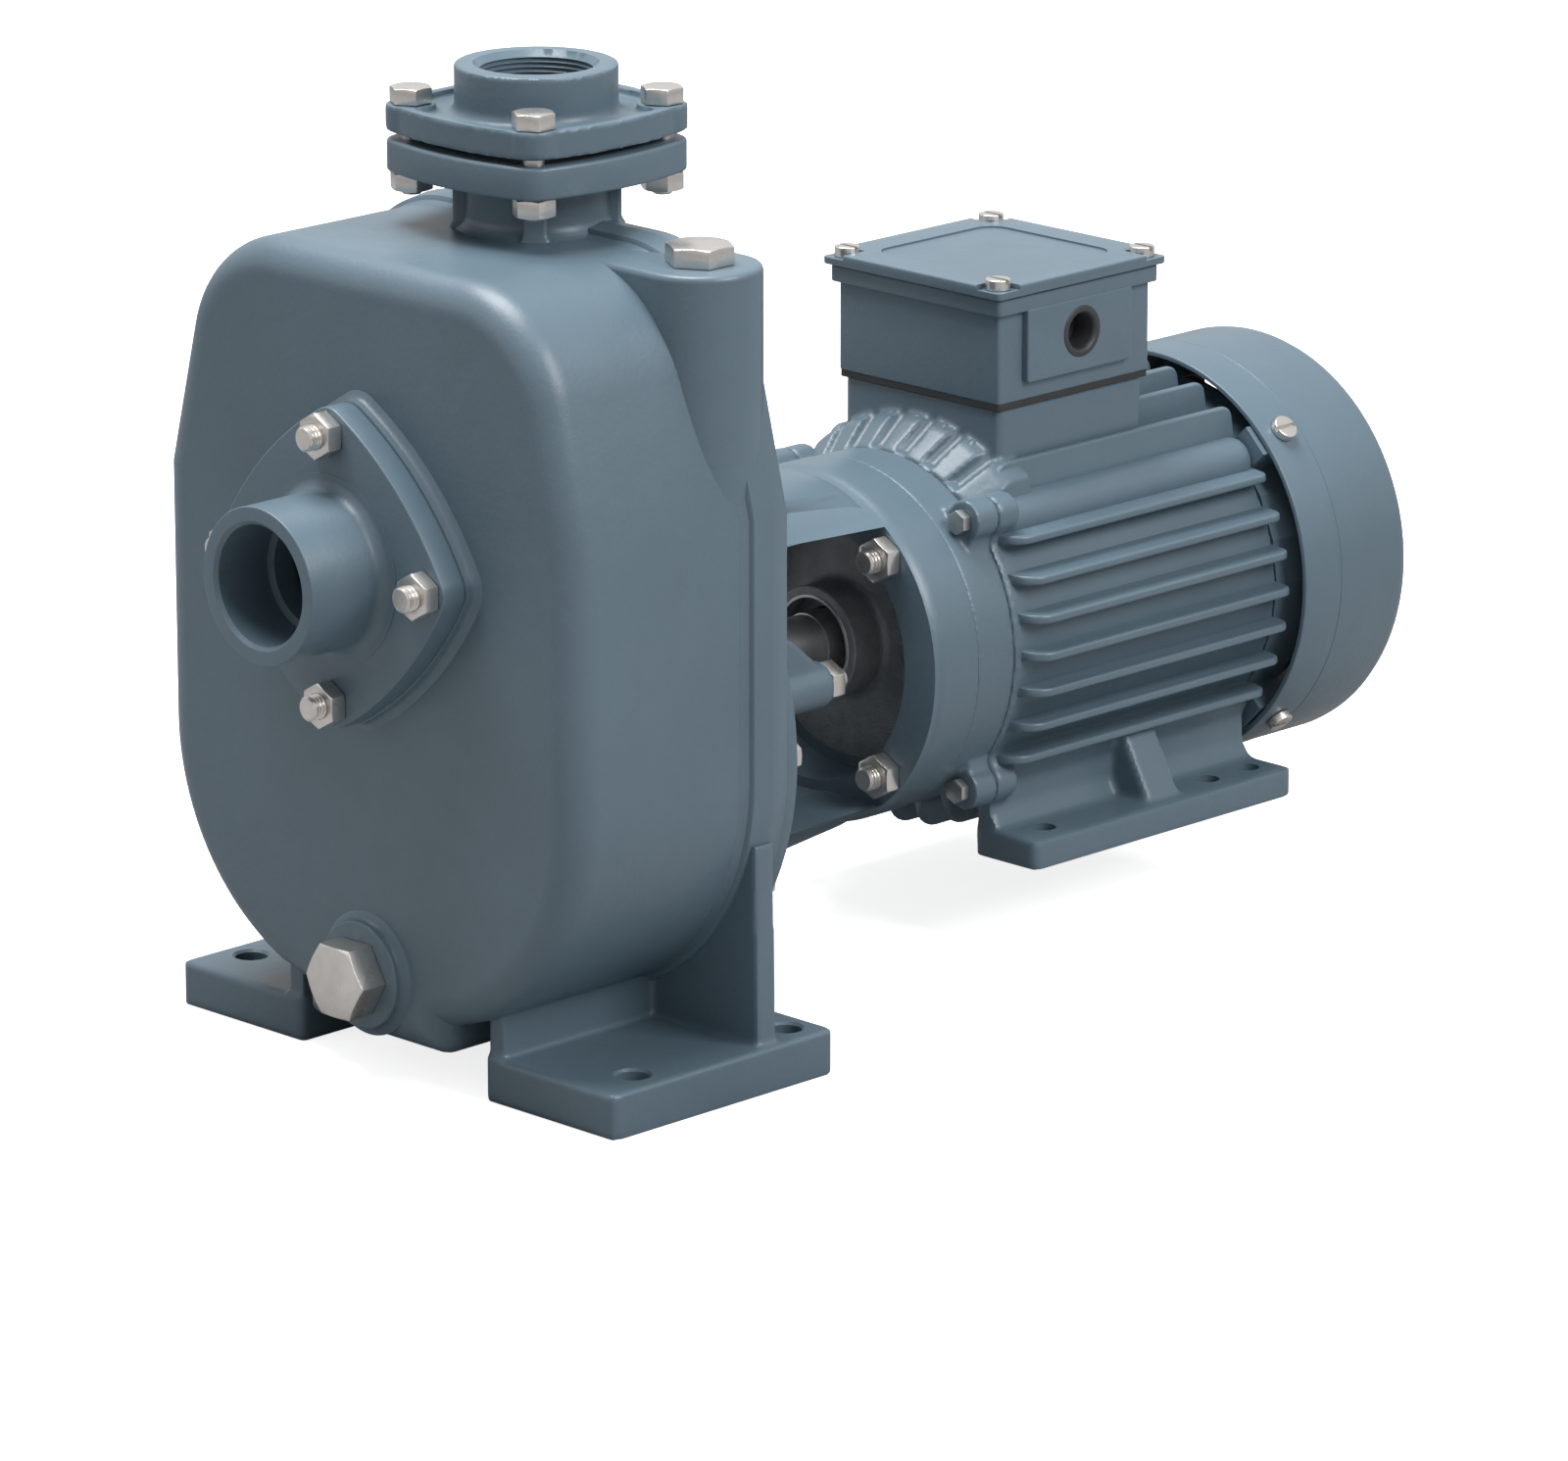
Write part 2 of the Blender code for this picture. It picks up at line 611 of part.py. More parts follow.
class Workshop:
    """Makes the named pieces, hangs them on the stand and adds their cuts and unions."""

    def __init__(self):
        self.stand = self.empty("stand", (0, -MIDDLE, 0), None)
        self.rotor_axis = self.empty("rotor_axis", (0, 0, SHAFT_HEIGHT), self.stand)
        self.paint = make_material("paint", (0.135, 0.185, 0.215), 0.5, 0.0)
        self.zinc = make_material("zinc", (0.72, 0.71, 0.68), 0.32, 1.0)
        self.steel = make_material("steel", (0.55, 0.55, 0.56), 0.35, 1.0)
        self.iron = make_material("iron", (0.23, 0.24, 0.25), 0.6, 0.6)
        self.rubber = make_material("rubber", (0.03, 0.03, 0.032), 0.75, 0.0)
        self.plastic = make_material("plastic", (0.04, 0.042, 0.045), 0.5, 0.0)
        self.copper = make_material("copper", (0.55, 0.25, 0.12), 0.4, 0.8)

    def empty(self, name, place, parent):
        item = bpy.data.objects.new(name, None)
        item.location = place
        item.parent = parent
        bpy.context.collection.objects.link(item)
        return item

    def piece(self, name, bm, material, place=(0, 0, 0), parent=None):
        mesh = bpy.data.meshes.new(name)
        bm.to_mesh(mesh)
        bm.free()
        mesh.materials.append(material)
        mesh.shade_smooth()
        mesh.set_sharp_from_angle(angle=SHARP_ANGLE)
        item = bpy.data.objects.new(name, mesh)
        item.location = place
        item.parent = parent or self.stand
        bpy.context.collection.objects.link(item)
        return item

    def combine(self, target, bm, operation):
        """Cut or join a hidden shape, given in the target's own frame."""
        name = f"{target.name}_{operation.lower()}_{len(target.modifiers)}"
        tool = self.piece(name, bm, target.data.materials[0], target.location, target.parent)
        tool.hide_render = True
        tool.display_type = "WIRE"
        step = target.modifiers.new(name, "BOOLEAN")
        step.operation = operation
        step.solver = "EXACT"
        step.object = tool

    def cut(self, target, bm):
        self.combine(target, bm, "DIFFERENCE")

    def join(self, target, bm):
        self.combine(target, bm, "UNION")

    def drill_along(self, target, places, radius, start, end, sides):
        """Round holes along Y at (x, z) places."""
        holes = [placed(cylinder(radius, start, end, sides), (x, 0, z)) for x, z in places]
        self.cut(target, gathered(holes))

    def drill_down(self, target, places, radius, bottom, top, sides):
        """Upright round holes at (x, y) places."""
        holes = [placed(upright(cylinder(radius, bottom, top, sides)), (x, y, 0)) for x, y in places]
        self.cut(target, gathered(holes))


def suction_outline(extra):
    return bulged_square(SUCTION_STUD_CIRCLE, SUCTION_CORNER + extra, SUCTION_BULGE, 0,
                         Vector((0, SUCTION_HEIGHT)), FLANGE_ARC_STEPS)


def discharge_outline(extra):
    return bulged_square(DISCHARGE_BOLT_CIRCLE, DISCHARGE_CORNER + extra, DISCHARGE_BULGE,
                         math.radians(45), Vector((0, DISCHARGE_Y)), FLANGE_ARC_STEPS)


def discharge_bolt_places():
    reach = DISCHARGE_BOLT_CIRCLE / math.sqrt(2)
    return [(reach * sign_x, DISCHARGE_Y + reach * sign_y) for sign_x, sign_y in CORNER_SIGNS]


def suction_stud_places():
    return around(SUCTION_STUD_CIRCLE, QUARTERS, SUCTION_HEIGHT)


def foot_hole_places():
    return [(side * FOOT_HOLE_X, FOOT_HOLE_EDGE + step * FOOT_HOLE_PITCH)
            for side in (-1, 1) for step in (0, 1)]


def foot_shapes(side):
    """One foot pad, its leg wall along the shaft and its rib across it."""
    half_width = (FOOT_HALF_SPAN - FOOT_INNER_EDGE) / 2
    centre = (side * (FOOT_INNER_EDGE + half_width), FOOT_LENGTH / 2)
    pad = prism(rounded_rectangle(half_width, FOOT_LENGTH / 2, FOOT_CORNER, 1, centre),
                "Z", 0, FOOT_THICKNESS)
    root = FOOT_THICKNESS / 2
    leg_inner = side * (FOOT_INNER_EDGE + GAP)
    leg_outer = leg_inner + side * LEG_WALL
    leg_outline = [(leg_inner, root), (leg_outer, root), (leg_outer, root + LEG_REACH),
                   (leg_inner, root + LEG_REACH)]
    leg = prism(leg_outline, "Y", FOOT_CORNER, CASING_BACK - GAP)
    rib_inner = side * (FOOT_INNER_EDGE + LEG_WALL / 2)
    rib_outline = [(rib_inner, root), (side * RIB_FOOT_X, root), (side * RIB_TOP_X, RIB_TOP_HEIGHT),
                   (rib_inner, RIB_TOP_HEIGHT)]
    rib = prism(rib_outline, "Y", LIP_FRONT + GAP, LIP_FRONT + RIB_THICKNESS)
    return pad, leg, rib


def neck_shapes():
    """The discharge neck: a round tube wall with ribs towards the four bolts."""
    bottom = CASING_TOP - NECK_ROOT
    centre = (0, DISCHARGE_Y, 0)
    top = NECK_TOP + LOWER_FLANGE_THICKNESS / 2
    shapes = [placed(upright(cylinder(NECK_RADIUS, bottom, top, ROUND_SIDES)), centre)]
    for turn in DIAGONALS[:2]:
        rib = prism(rectangle(NECK_RIB_REACH, NECK_RIB_THICKNESS / 2), "Z", bottom, top)
        shapes.append(placed(rib, centre, turn, "Z"))
    return shapes


def make_casing(shop):
    """Front shell, lip, priming column, neck, flange, pads and feet; then the chambers inside."""
    shell = prism(casing_outline(0), "Y", CASING_FRONT, CASING_BACK - GAP)
    shell = round_front_edges(shell, CASING_FRONT, CASING_FILLET, FILLET_STEPS)
    casing = shop.piece("pump_casing", shell, shop.paint)
    ridge = LIP_FRONT + LIP_THICKNESS / 2
    shop.join(casing, loft([(casing_outline(LIP_PROUD), LIP_FRONT), (casing_outline(LIP_RIDGE_PROUD), ridge),
                            (casing_outline(LIP_PROUD), CASING_BACK)], "Y"))
    column = arc((COLUMN_X, COLUMN_Y), COLUMN_RADIUS, math.radians(-90), math.radians(90), COLUMN_STEPS)
    column += [(0, COLUMN_Y + COLUMN_RADIUS), (0, COLUMN_Y - COLUMN_RADIUS)]
    shop.join(casing, prism(column, "Z", COLUMN_TOP - COLUMN_HEIGHT, COLUMN_TOP))
    for shape in neck_shapes():
        shop.join(casing, shape)
    shop.join(casing, prism(discharge_outline(LOWER_CORNER_EXTRA), "Z", NECK_TOP, LOWER_FLANGE_TOP))
    pad_root = CASING_FRONT + CASING_WALL / 2
    shop.join(casing, prism(suction_outline(SUCTION_PAD_EXTRA), "Y", SUCTION_PAD_FACE, pad_root))
    drain_boss = cylinder(DRAIN_BOSS_RADIUS, DRAIN_FACE, pad_root, ROUND_SIDES)
    shop.join(casing, placed(drain_boss, (0, 0, DRAIN_HEIGHT)))
    for side in (-1, 1):
        for shape in foot_shapes(side):
            shop.join(casing, shape)

    cavity_front = CASING_FRONT + CASING_WALL
    cavity = prism(casing_outline(-CASING_WALL), "Y", cavity_front, CAVITY_BACK)
    shop.cut(casing, round_front_edges(cavity, cavity_front, CASING_FILLET - CASING_WALL, 1))
    shop.drill_along(casing, [(0, SHAFT_HEIGHT)], BACK_BORE_RADIUS, CAVITY_BACK - OVERRUN,
                     CASING_BACK + OVERRUN, FINE_SIDES)
    shop.drill_along(casing, [(0, SUCTION_HEIGHT)], SUCTION_PORT_RADIUS, SUCTION_PAD_FACE - OVERRUN,
                     cavity_front + OVERRUN, ROUND_SIDES)
    shop.drill_along(casing, [(0, DRAIN_HEIGHT)], DRAIN_BORE_RADIUS, DRAIN_FACE - OVERRUN,
                     cavity_front + OVERRUN, SMALL_SIDES)
    shop.drill_along(casing, suction_stud_places(), STUD_RADIUS + GAP, SUCTION_PAD_FACE - OVERRUN,
                     SUCTION_PAD_FACE + STUD_GRIP + OVERRUN, HEX_SIDES)
    shop.drill_down(casing, [(0, DISCHARGE_Y)], DISCHARGE_BORE_RADIUS, CASING_TOP - CASING_WALL - OVERRUN,
                    LOWER_FLANGE_TOP + OVERRUN, ROUND_SIDES)
    shop.drill_down(casing, discharge_bolt_places(), STUD_RADIUS + GAP, NECK_TOP - OVERRUN,
                    LOWER_FLANGE_TOP + OVERRUN, HEX_SIDES)
    shop.drill_down(casing, [(COLUMN_X, COLUMN_Y)], PRIMING_BORE_RADIUS, COLUMN_TOP - PRIMING_BORE_DEPTH,
                    COLUMN_TOP + OVERRUN, SMALL_SIDES)
    shop.drill_down(casing, foot_hole_places(), FOOT_HOLE_RADIUS, -OVERRUN, FOOT_THICKNESS + OVERRUN,
                    SCREW_SIDES)

    shop.join(casing, prism(casing_outline(GAP - CASING_WALL), "Y", PARTITION_FRONT, PARTITION_BACK))
    shop.drill_along(casing, [(0, SHAFT_HEIGHT)], EYE_RADIUS, PARTITION_FRONT - OVERRUN,
                     PARTITION_BACK + OVERRUN, ROUND_SIDES)
    lug_back = cavity_front - CASING_WALL / 2
    lug = arc(FLAP_PIVOT, LUG_RADIUS, math.radians(-90), math.radians(90), LUG_STEPS)
    lug += [(lug_back, FLAP_PIVOT[1] + LUG_RADIUS), (lug_back, FLAP_PIVOT[1] - LUG_RADIUS)]
    near = FLAP_EAR_HALF_WIDTH + GAP
    for side in (-1, 1):
        shop.join(casing, prism(lug, "X", side * near, side * (near + LUG_THICKNESS)))
    reach = near + LUG_THICKNESS + OVERRUN
    bore = sideways(cylinder(PIN_RADIUS + GAP, -reach, reach, SCREW_SIDES))
    shop.cut(casing, placed(bore, (0, *FLAP_PIVOT)))


def make_discharge(shop):
    """Threaded boss on its bulged square flange, and the gasket under it."""
    flange = prism(discharge_outline(0), "Z", UPPER_FLANGE_BOTTOM, UPPER_FLANGE_TOP)
    item = shop.piece("discharge_flange", flange, shop.paint)
    pocket_floor = UPPER_FLANGE_TOP - FLANGE_POCKET_DEPTH
    shop.cut(item, prism(discharge_outline(-FLANGE_RIM), "Z", pocket_floor, UPPER_FLANGE_TOP + OVERRUN))
    pad_bottom = (UPPER_FLANGE_BOTTOM + pocket_floor) / 2
    for x, y in discharge_bolt_places():
        pad = cylinder(DISCHARGE_CORNER - GAP, pad_bottom, UPPER_FLANGE_TOP - GAP, SCREW_SIDES)
        shop.join(item, placed(upright(pad), (x, y, 0)))
    boss = cylinder(DISCHARGE_BOSS_RADIUS, UPPER_FLANGE_BOTTOM + GAP, DISCHARGE_TOP, ROUND_SIDES)
    shop.join(item, placed(upright(boss), (0, DISCHARGE_Y, 0)))
    shop.drill_down(item, [(0, DISCHARGE_Y)], DISCHARGE_BORE_RADIUS, UPPER_FLANGE_BOTTOM - OVERRUN,
                    DISCHARGE_TOP + OVERRUN, ROUND_SIDES)
    shop.drill_down(item, discharge_bolt_places(), STUD_RADIUS + GAP, UPPER_FLANGE_BOTTOM - OVERRUN,
                    UPPER_FLANGE_TOP + OVERRUN, HEX_SIDES)

    top = DISCHARGE_GASKET_BOTTOM + DISCHARGE_GASKET_THICKNESS
    gasket = prism(discharge_outline(-DISCHARGE_GASKET_INSET), "Z", DISCHARGE_GASKET_BOTTOM, top)
    item = shop.piece("discharge_gasket", gasket, shop.rubber)
    shop.drill_down(item, [(0, DISCHARGE_Y)], DISCHARGE_BORE_RADIUS, DISCHARGE_GASKET_BOTTOM - OVERRUN,
                    top + OVERRUN, ROUND_SIDES)
    shop.drill_down(item, discharge_bolt_places(), STUD_RADIUS + GAP, DISCHARGE_GASKET_BOTTOM - OVERRUN,
                    top + OVERRUN, HEX_SIDES)


def make_discharge_bolts(shop):
    """Bolts hanging down from their heads on the upper flange to nuts under the lower one."""
    nut_top = NECK_TOP - GAP
    nut_bottom = nut_top - NUT_HEIGHT
    head_bottom = UPPER_FLANGE_TOP + GAP
    for number, (x, y) in enumerate(discharge_bolt_places(), 1):
        parts = rod(nut_bottom - STUD_END, STUD_RADIUS, nut_bottom)
        parts += nut_sections(nut_top, NUT_HEX, nut_bottom)[::-1]
        parts += rod(nut_top, STUD_RADIUS, head_bottom)
        parts += nut_sections(head_bottom, NUT_HEX, head_bottom + HEAD_HEIGHT)
        shop.piece(f"discharge_bolt_{number}", loft(parts, "Z"), shop.zinc, (x, y, 0))


def make_suction(shop):
    """Gasket, diamond flange with its bored nozzle, and the four studs with nuts."""
    gasket_back = SUCTION_PAD_FACE - GAP
    gasket_front = gasket_back - SUCTION_GASKET_THICKNESS
    item = shop.piece("suction_gasket", prism(suction_outline(-GAP), "Y", gasket_front, gasket_back),
                      shop.rubber)
    shop.drill_along(item, [(0, SUCTION_HEIGHT)], SUCTION_PORT_RADIUS, gasket_front - OVERRUN,
                     gasket_back + OVERRUN, ROUND_SIDES)
    shop.drill_along(item, suction_stud_places(), STUD_RADIUS + GAP, gasket_front - OVERRUN,
                     gasket_back + OVERRUN, HEX_SIDES)

    flange = prism(suction_outline(0), "Y", SUCTION_FLANGE_FRONT, SUCTION_FLANGE_BACK)
    item = shop.piece("suction_flange", flange, shop.paint)
    root = SUCTION_FLANGE_BACK - SUCTION_FLANGE_THICKNESS / 2
    nozzle = turned([(0, root), (NOZZLE_RADIUS + NOZZLE_FILLET, root),
                     (NOZZLE_RADIUS + NOZZLE_FILLET, SUCTION_FLANGE_FRONT),
                     (NOZZLE_RADIUS, SUCTION_FLANGE_FRONT - NOZZLE_FILLET), (NOZZLE_RADIUS, NOZZLE_TIP),
                     (0, NOZZLE_TIP)], ROUND_SIDES)
    shop.join(item, placed(nozzle, (0, 0, SUCTION_HEIGHT)))
    mouth = SUCTION_PORT_RADIUS + NOZZLE_CHAMFER
    bore = turned([(0, NOZZLE_TIP - OVERRUN), (mouth, NOZZLE_TIP - OVERRUN), (mouth, NOZZLE_TIP),
                   (SUCTION_PORT_RADIUS, NOZZLE_TIP + NOZZLE_CHAMFER),
                   (SUCTION_PORT_RADIUS, SUCTION_FLANGE_BACK + OVERRUN), (0, SUCTION_FLANGE_BACK + OVERRUN)],
                  ROUND_SIDES)
    shop.cut(item, placed(bore, (0, 0, SUCTION_HEIGHT)))
    shop.drill_along(item, suction_stud_places(), STUD_RADIUS + GAP, SUCTION_FLANGE_FRONT - OVERRUN,
                     SUCTION_FLANGE_BACK + OVERRUN, HEX_SIDES)
    for number, (x, z) in enumerate(suction_stud_places(), 1):
        stud = stud_and_nut(-SUCTION_PAD_FACE - STUD_GRIP, -SUCTION_FLANGE_FRONT, NUT_HEX, NUT_HEIGHT)
        shop.piece(f"suction_stud_{number}", reversed_along_y(stud), shop.zinc, (x, 0, z))


def make_plugs(shop):
    """Hexagon plugs of the priming column and the drain boss, each with a smooth shank."""
    parts = rod(-PRIMING_SHANK, PRIMING_BORE_RADIUS - RUNNING_GAP, GAP)
    parts += nut_sections(GAP, PRIMING_HEX, PRIMING_HEAD)
    shop.piece("priming_plug", loft(parts, "Z"), shop.zinc, (COLUMN_X, COLUMN_Y, COLUMN_TOP))
    parts = rod(-DRAIN_SHANK, DRAIN_BORE_RADIUS - RUNNING_GAP, GAP)
    parts += nut_sections(GAP, DRAIN_HEX, DRAIN_HEAD)
    shop.piece("drain_plug", reversed_along_y(loft(parts, "Y")), shop.zinc, (0, DRAIN_FACE, DRAIN_HEIGHT))


def make_check_valve(shop):
    """Rubber flap hung from a pin in the casing's lugs, lying against the suction port."""
    face = CASING_FRONT + CASING_WALL + GAP - FLAP_PIVOT[0]
    back = face + FLAP_THICKNESS
    disc = placed(cylinder(FLAP_RADIUS, face, back, ROUND_SIDES), (0, 0, -FLAP_PIVOT_RISE))
    flap = shop.piece("check_valve_flap", disc, shop.rubber, (0, *FLAP_PIVOT))
    ear = arc((0, 0), FLAP_EAR_RADIUS, 0, math.pi, LUG_STEPS)
    ear += [(face + GAP, -FLAP_EAR_ROOT), (back - GAP, -FLAP_EAR_ROOT)]
    shop.join(flap, prism(ear, "X", -FLAP_EAR_HALF_WIDTH, FLAP_EAR_HALF_WIDTH))
    reach = FLAP_EAR_HALF_WIDTH + OVERRUN
    shop.cut(flap, sideways(cylinder(PIN_RADIUS + RUNNING_GAP, -reach, reach, SCREW_SIDES)))
    half_pin = FLAP_EAR_HALF_WIDTH + GAP + LUG_THICKNESS
    pin = sideways(cylinder(PIN_RADIUS, -half_pin, half_pin, SCREW_SIDES))
    shop.piece("flap_pin", pin, shop.steel, (0, *FLAP_PIVOT))


def make_volute(shop):
    """Spiral wall round the impeller, open at its mouth near the top."""
    inner = []
    outer = []
    sweep = math.tau - VOLUTE_OPENING
    for step in range(VOLUTE_STEPS + 1):
        share = step / VOLUTE_STEPS
        turn = VOLUTE_MOUTH_ANGLE - sweep * share
        radius = VOLUTE_START_RADIUS + VOLUTE_GROWTH * share
        inner.append((radius * math.cos(turn), radius * math.sin(turn)))
        outer.append(((radius + VOLUTE_WALL) * math.cos(turn), (radius + VOLUTE_WALL) * math.sin(turn)))
    wall = prism(inner + outer[::-1], "Y", PARTITION_BACK + GAP, HOUSING_FRONT - GAP)
    shop.piece("volute", wall, shop.iron, (0, 0, SHAFT_HEIGHT))


def vane_outline(turn):
    """One backward-curved vane from the hub to the rim, as a band of even thickness."""
    faces = ([], [])
    half = VANE_THICKNESS / 2
    start = IMPELLER_HUB_RADIUS - half
    for step in range(VANE_STEPS + 1):
        share = step / VANE_STEPS
        radius = start + (IMPELLER_RADIUS - GAP - start) * share
        for side, face in zip((-1, 1), faces):
            angle = turn - VANE_SWEEP * share + side * half / radius
            face.append((radius * math.cos(angle), radius * math.sin(angle)))
    return faces[0] + faces[1][::-1]


def make_impeller(shop):
    """Semi-open impeller: back shroud, hub and backward-curved vanes, and the nut that holds it."""
    bore = SHAFT_TIP_RADIUS + GAP
    hub_front = VANE_FRONT + IMPELLER_NUT_HEIGHT
    hub_back = CASING_BACK - SHROUD_BACK_GAP
    disc = turned([(bore, hub_front), (IMPELLER_NOSE_RADIUS, hub_front), (IMPELLER_HUB_RADIUS, SHROUD_FRONT),
                   (IMPELLER_RADIUS, SHROUD_FRONT), (IMPELLER_RADIUS, SHROUD_BACK),
                   (IMPELLER_HUB_RADIUS, SHROUD_BACK), (IMPELLER_HUB_RADIUS, hub_back), (bore, hub_back)],
                  FINE_SIDES)
    impeller = shop.piece("impeller", disc, shop.iron, parent=shop.rotor_axis)
    for number in range(VANE_COUNT):
        vane = prism(vane_outline(math.tau * number / VANE_COUNT), "Y", VANE_FRONT, SHROUD_FRONT + GAP)
        shop.join(impeller, vane)
    seat = hub_front - GAP
    nut = shop.piece("impeller_nut", loft(nut_sections(seat, IMPELLER_NUT_HEX, VANE_FRONT), "Y"),
                     shop.steel, parent=shop.rotor_axis)
    shop.drill_along(nut, [(0, 0)], bore, VANE_FRONT + NUT_CROWN, seat + OVERRUN, INNER_SIDES)


def make_seal_housing(shop):
    """Plate that closes the casing's bore, with the seal neck and two webbed gland lugs behind it."""
    rim = BACK_BORE_RADIUS - GAP
    profile = [(SEAL_BORE_RADIUS, HOUSING_FRONT), (rim, HOUSING_FRONT), (rim, CASING_BACK),
               (HOUSING_SPIGOT_RADIUS, CASING_BACK), (HOUSING_SPIGOT_RADIUS, HOUSING_SPIGOT_BACK),
               (SEAL_NECK_RADIUS, HOUSING_SPIGOT_BACK), (SEAL_NECK_RADIUS - SEAL_NECK_TAPER, SEAL_NECK_BACK),
               (SEAL_SEAT_BORE, SEAL_NECK_BACK), (SEAL_SEAT_BORE, SEAL_SEAT_BACK),
               (SEAL_BORE_RADIUS, SEAL_SEAT_BACK)]
    housing = shop.piece("seal_housing", turned(profile, FINE_SIDES), shop.paint, (0, 0, SHAFT_HEIGHT))
    root = HOUSING_SPIGOT_BACK - HOUSING_SPIGOT_RISE
    web_back = GLAND_LUG_BACK - GLAND_WEB_SETBACK
    web_outline = [(root, 0), (root, GLAND_WEB_RISE), (GLAND_LUG_BACK - GLAND_WEB_RISE, GLAND_WEB_RISE),
                   (web_back, GLAND_LUG_RADIUS), (web_back, 0)]
    for side, name in ((-1, "gland_stud_left"), (1, "gland_stud_right")):
        place = (side * GLAND_LUG_X, 0, 0)
        shop.join(housing, placed(cylinder(GLAND_LUG_RADIUS, root, GLAND_LUG_BACK, SMALL_SIDES), place))
        web = prism(web_outline, "X", -GLAND_WEB_THICKNESS / 2, GLAND_WEB_THICKNESS / 2)
        shop.join(housing, placed(web, place))
        shop.drill_along(housing, [(side * GLAND_LUG_X, 0)], STUD_RADIUS + GAP,
                         GLAND_LUG_BACK - STUD_GRIP - OVERRUN, GLAND_LUG_BACK + OVERRUN, HEX_SIDES)
        stud = stud_and_nut(GLAND_LUG_BACK - STUD_GRIP, GLAND_LUG_BACK, NUT_HEX, NUT_HEIGHT)
        shop.piece(name, stud, shop.zinc, (side * GLAND_LUG_X, 0, SHAFT_HEIGHT))


def make_lantern(shop):
    """Round plate with its ring of nuts, windowed barrel and motor flange, cast in one."""
    plate_bore = HOUSING_SPIGOT_RADIUS + GAP
    profile = [(plate_bore, PLATE_FRONT), (PLATE_RADIUS, PLATE_FRONT), (PLATE_RADIUS, PLATE_BACK),
               (LANTERN_RADIUS, PLATE_BACK), (LANTERN_RADIUS, MOTOR_FLANGE_FRONT),
               (MOTOR_FLANGE_RADIUS, MOTOR_FLANGE_FRONT), (MOTOR_FLANGE_RADIUS, MOTOR_FLANGE_BACK),
               (MOTOR_FLANGE_BORE, MOTOR_FLANGE_BACK), (MOTOR_FLANGE_BORE, MOTOR_FLANGE_FRONT),
               (plate_bore, MOTOR_FLANGE_FRONT)]
    lantern = shop.piece("lantern_bracket", turned(profile, FINE_SIDES), shop.paint, (0, 0, SHAFT_HEIGHT))
    reach = LANTERN_RADIUS + OVERRUN
    for side in (-1, 1):
        window = [(0, -WINDOW_HALF_HEIGHT), (side * reach, -WINDOW_HALF_HEIGHT),
                  (side * reach, WINDOW_HALF_HEIGHT), (0, WINDOW_HALF_HEIGHT)]
        shop.cut(lantern, prism(window, "Y", PLATE_BACK, MOTOR_FLANGE_FRONT))
    shop.drill_along(lantern, around(LANTERN_STUD_CIRCLE, DIAGONALS), STUD_RADIUS + GAP,
                     MOTOR_FLANGE_FRONT - OVERRUN, MOTOR_FLANGE_BACK + OVERRUN, HEX_SIDES)
    root = PLATE_BACK - PLATE_THICKNESS / 2
    turns = [math.tau * number / COVER_STUD_COUNT for number in range(COVER_STUD_COUNT)]
    for x, z in around(COVER_STUD_CIRCLE, turns):
        nut = cylinder(COVER_NUT_HEX / math.sqrt(3), root, PLATE_BACK + COVER_NUT_HEIGHT, HEX_SIDES)
        shop.join(lantern, placed(nut, (x, 0, z)))
    for number, (x, z) in enumerate(around(LANTERN_STUD_CIRCLE, DIAGONALS, SHAFT_HEIGHT), 1):
        stud = stud_and_nut(-SHIELD_FRONT - STUD_GRIP, -MOTOR_FLANGE_FRONT, NUT_HEX, NUT_HEIGHT)
        shop.piece(f"lantern_stud_{number}", reversed_along_y(stud), shop.zinc, (x, 0, z))


def make_front_shield(shop):
    """Drive-end shield: collar towards the lantern, bearing pocket behind, four bolted lugs."""
    pocket = SHIELD_BACK - BEARING_POCKET_DEPTH
    collar = SHIELD_FRONT - SHIELD_COLLAR_LENGTH
    recess = collar + COLLAR_RECESS_DEPTH
    through = SHAFT_BEARING_RADIUS + RUNNING_GAP
    profile = [(through, pocket), (through, recess), (COLLAR_RECESS_RADIUS, recess),
               (COLLAR_RECESS_RADIUS, collar), (SHIELD_COLLAR_RADIUS, collar),
               (SHIELD_COLLAR_RADIUS, SHIELD_FRONT), (SHIELD_RADIUS, SHIELD_FRONT),
               (SHIELD_RADIUS, SHIELD_BACK), (BEARING_RADIUS + GAP, SHIELD_BACK),
               (BEARING_RADIUS + GAP, pocket)]
    shield = shop.piece("motor_front_shield", turned(profile, FINE_SIDES), shop.paint, (0, 0, SHAFT_HEIGHT))
    lug_face = SHIELD_BACK - SHIELD_LUG_THICKNESS
    lugs = around(SHIELD_LUG_CIRCLE, DIAGONALS)
    for x, z in lugs:
        lug = cylinder(SHIELD_LUG_RADIUS, lug_face, SHIELD_BACK, SCREW_SIDES)
        shop.join(shield, placed(lug, (x, 0, z)))
    shop.drill_along(shield, around(LANTERN_STUD_CIRCLE, DIAGONALS), STUD_RADIUS + GAP,
                     SHIELD_FRONT - OVERRUN, SHIELD_FRONT + STUD_GRIP + OVERRUN, HEX_SIDES)
    shop.drill_along(shield, lugs, SHIELD_BOLT_RADIUS + GAP, lug_face - OVERRUN, SHIELD_BACK + OVERRUN,
                     HEX_SIDES)
    seat = lug_face - GAP
    for number, (x, z) in enumerate(around(SHIELD_LUG_CIRCLE, DIAGONALS, SHAFT_HEIGHT), 1):
        parts = rod(FRAME_FRONT + SHIELD_BOLT_GRIP, SHIELD_BOLT_RADIUS, seat)
        parts += nut_sections(seat, SHIELD_BOLT_HEX, seat - SHIELD_BOLT_HEAD)
        shop.piece(f"shield_bolt_{number}", loft(parts, "Y"), shop.zinc, (x, 0, z))


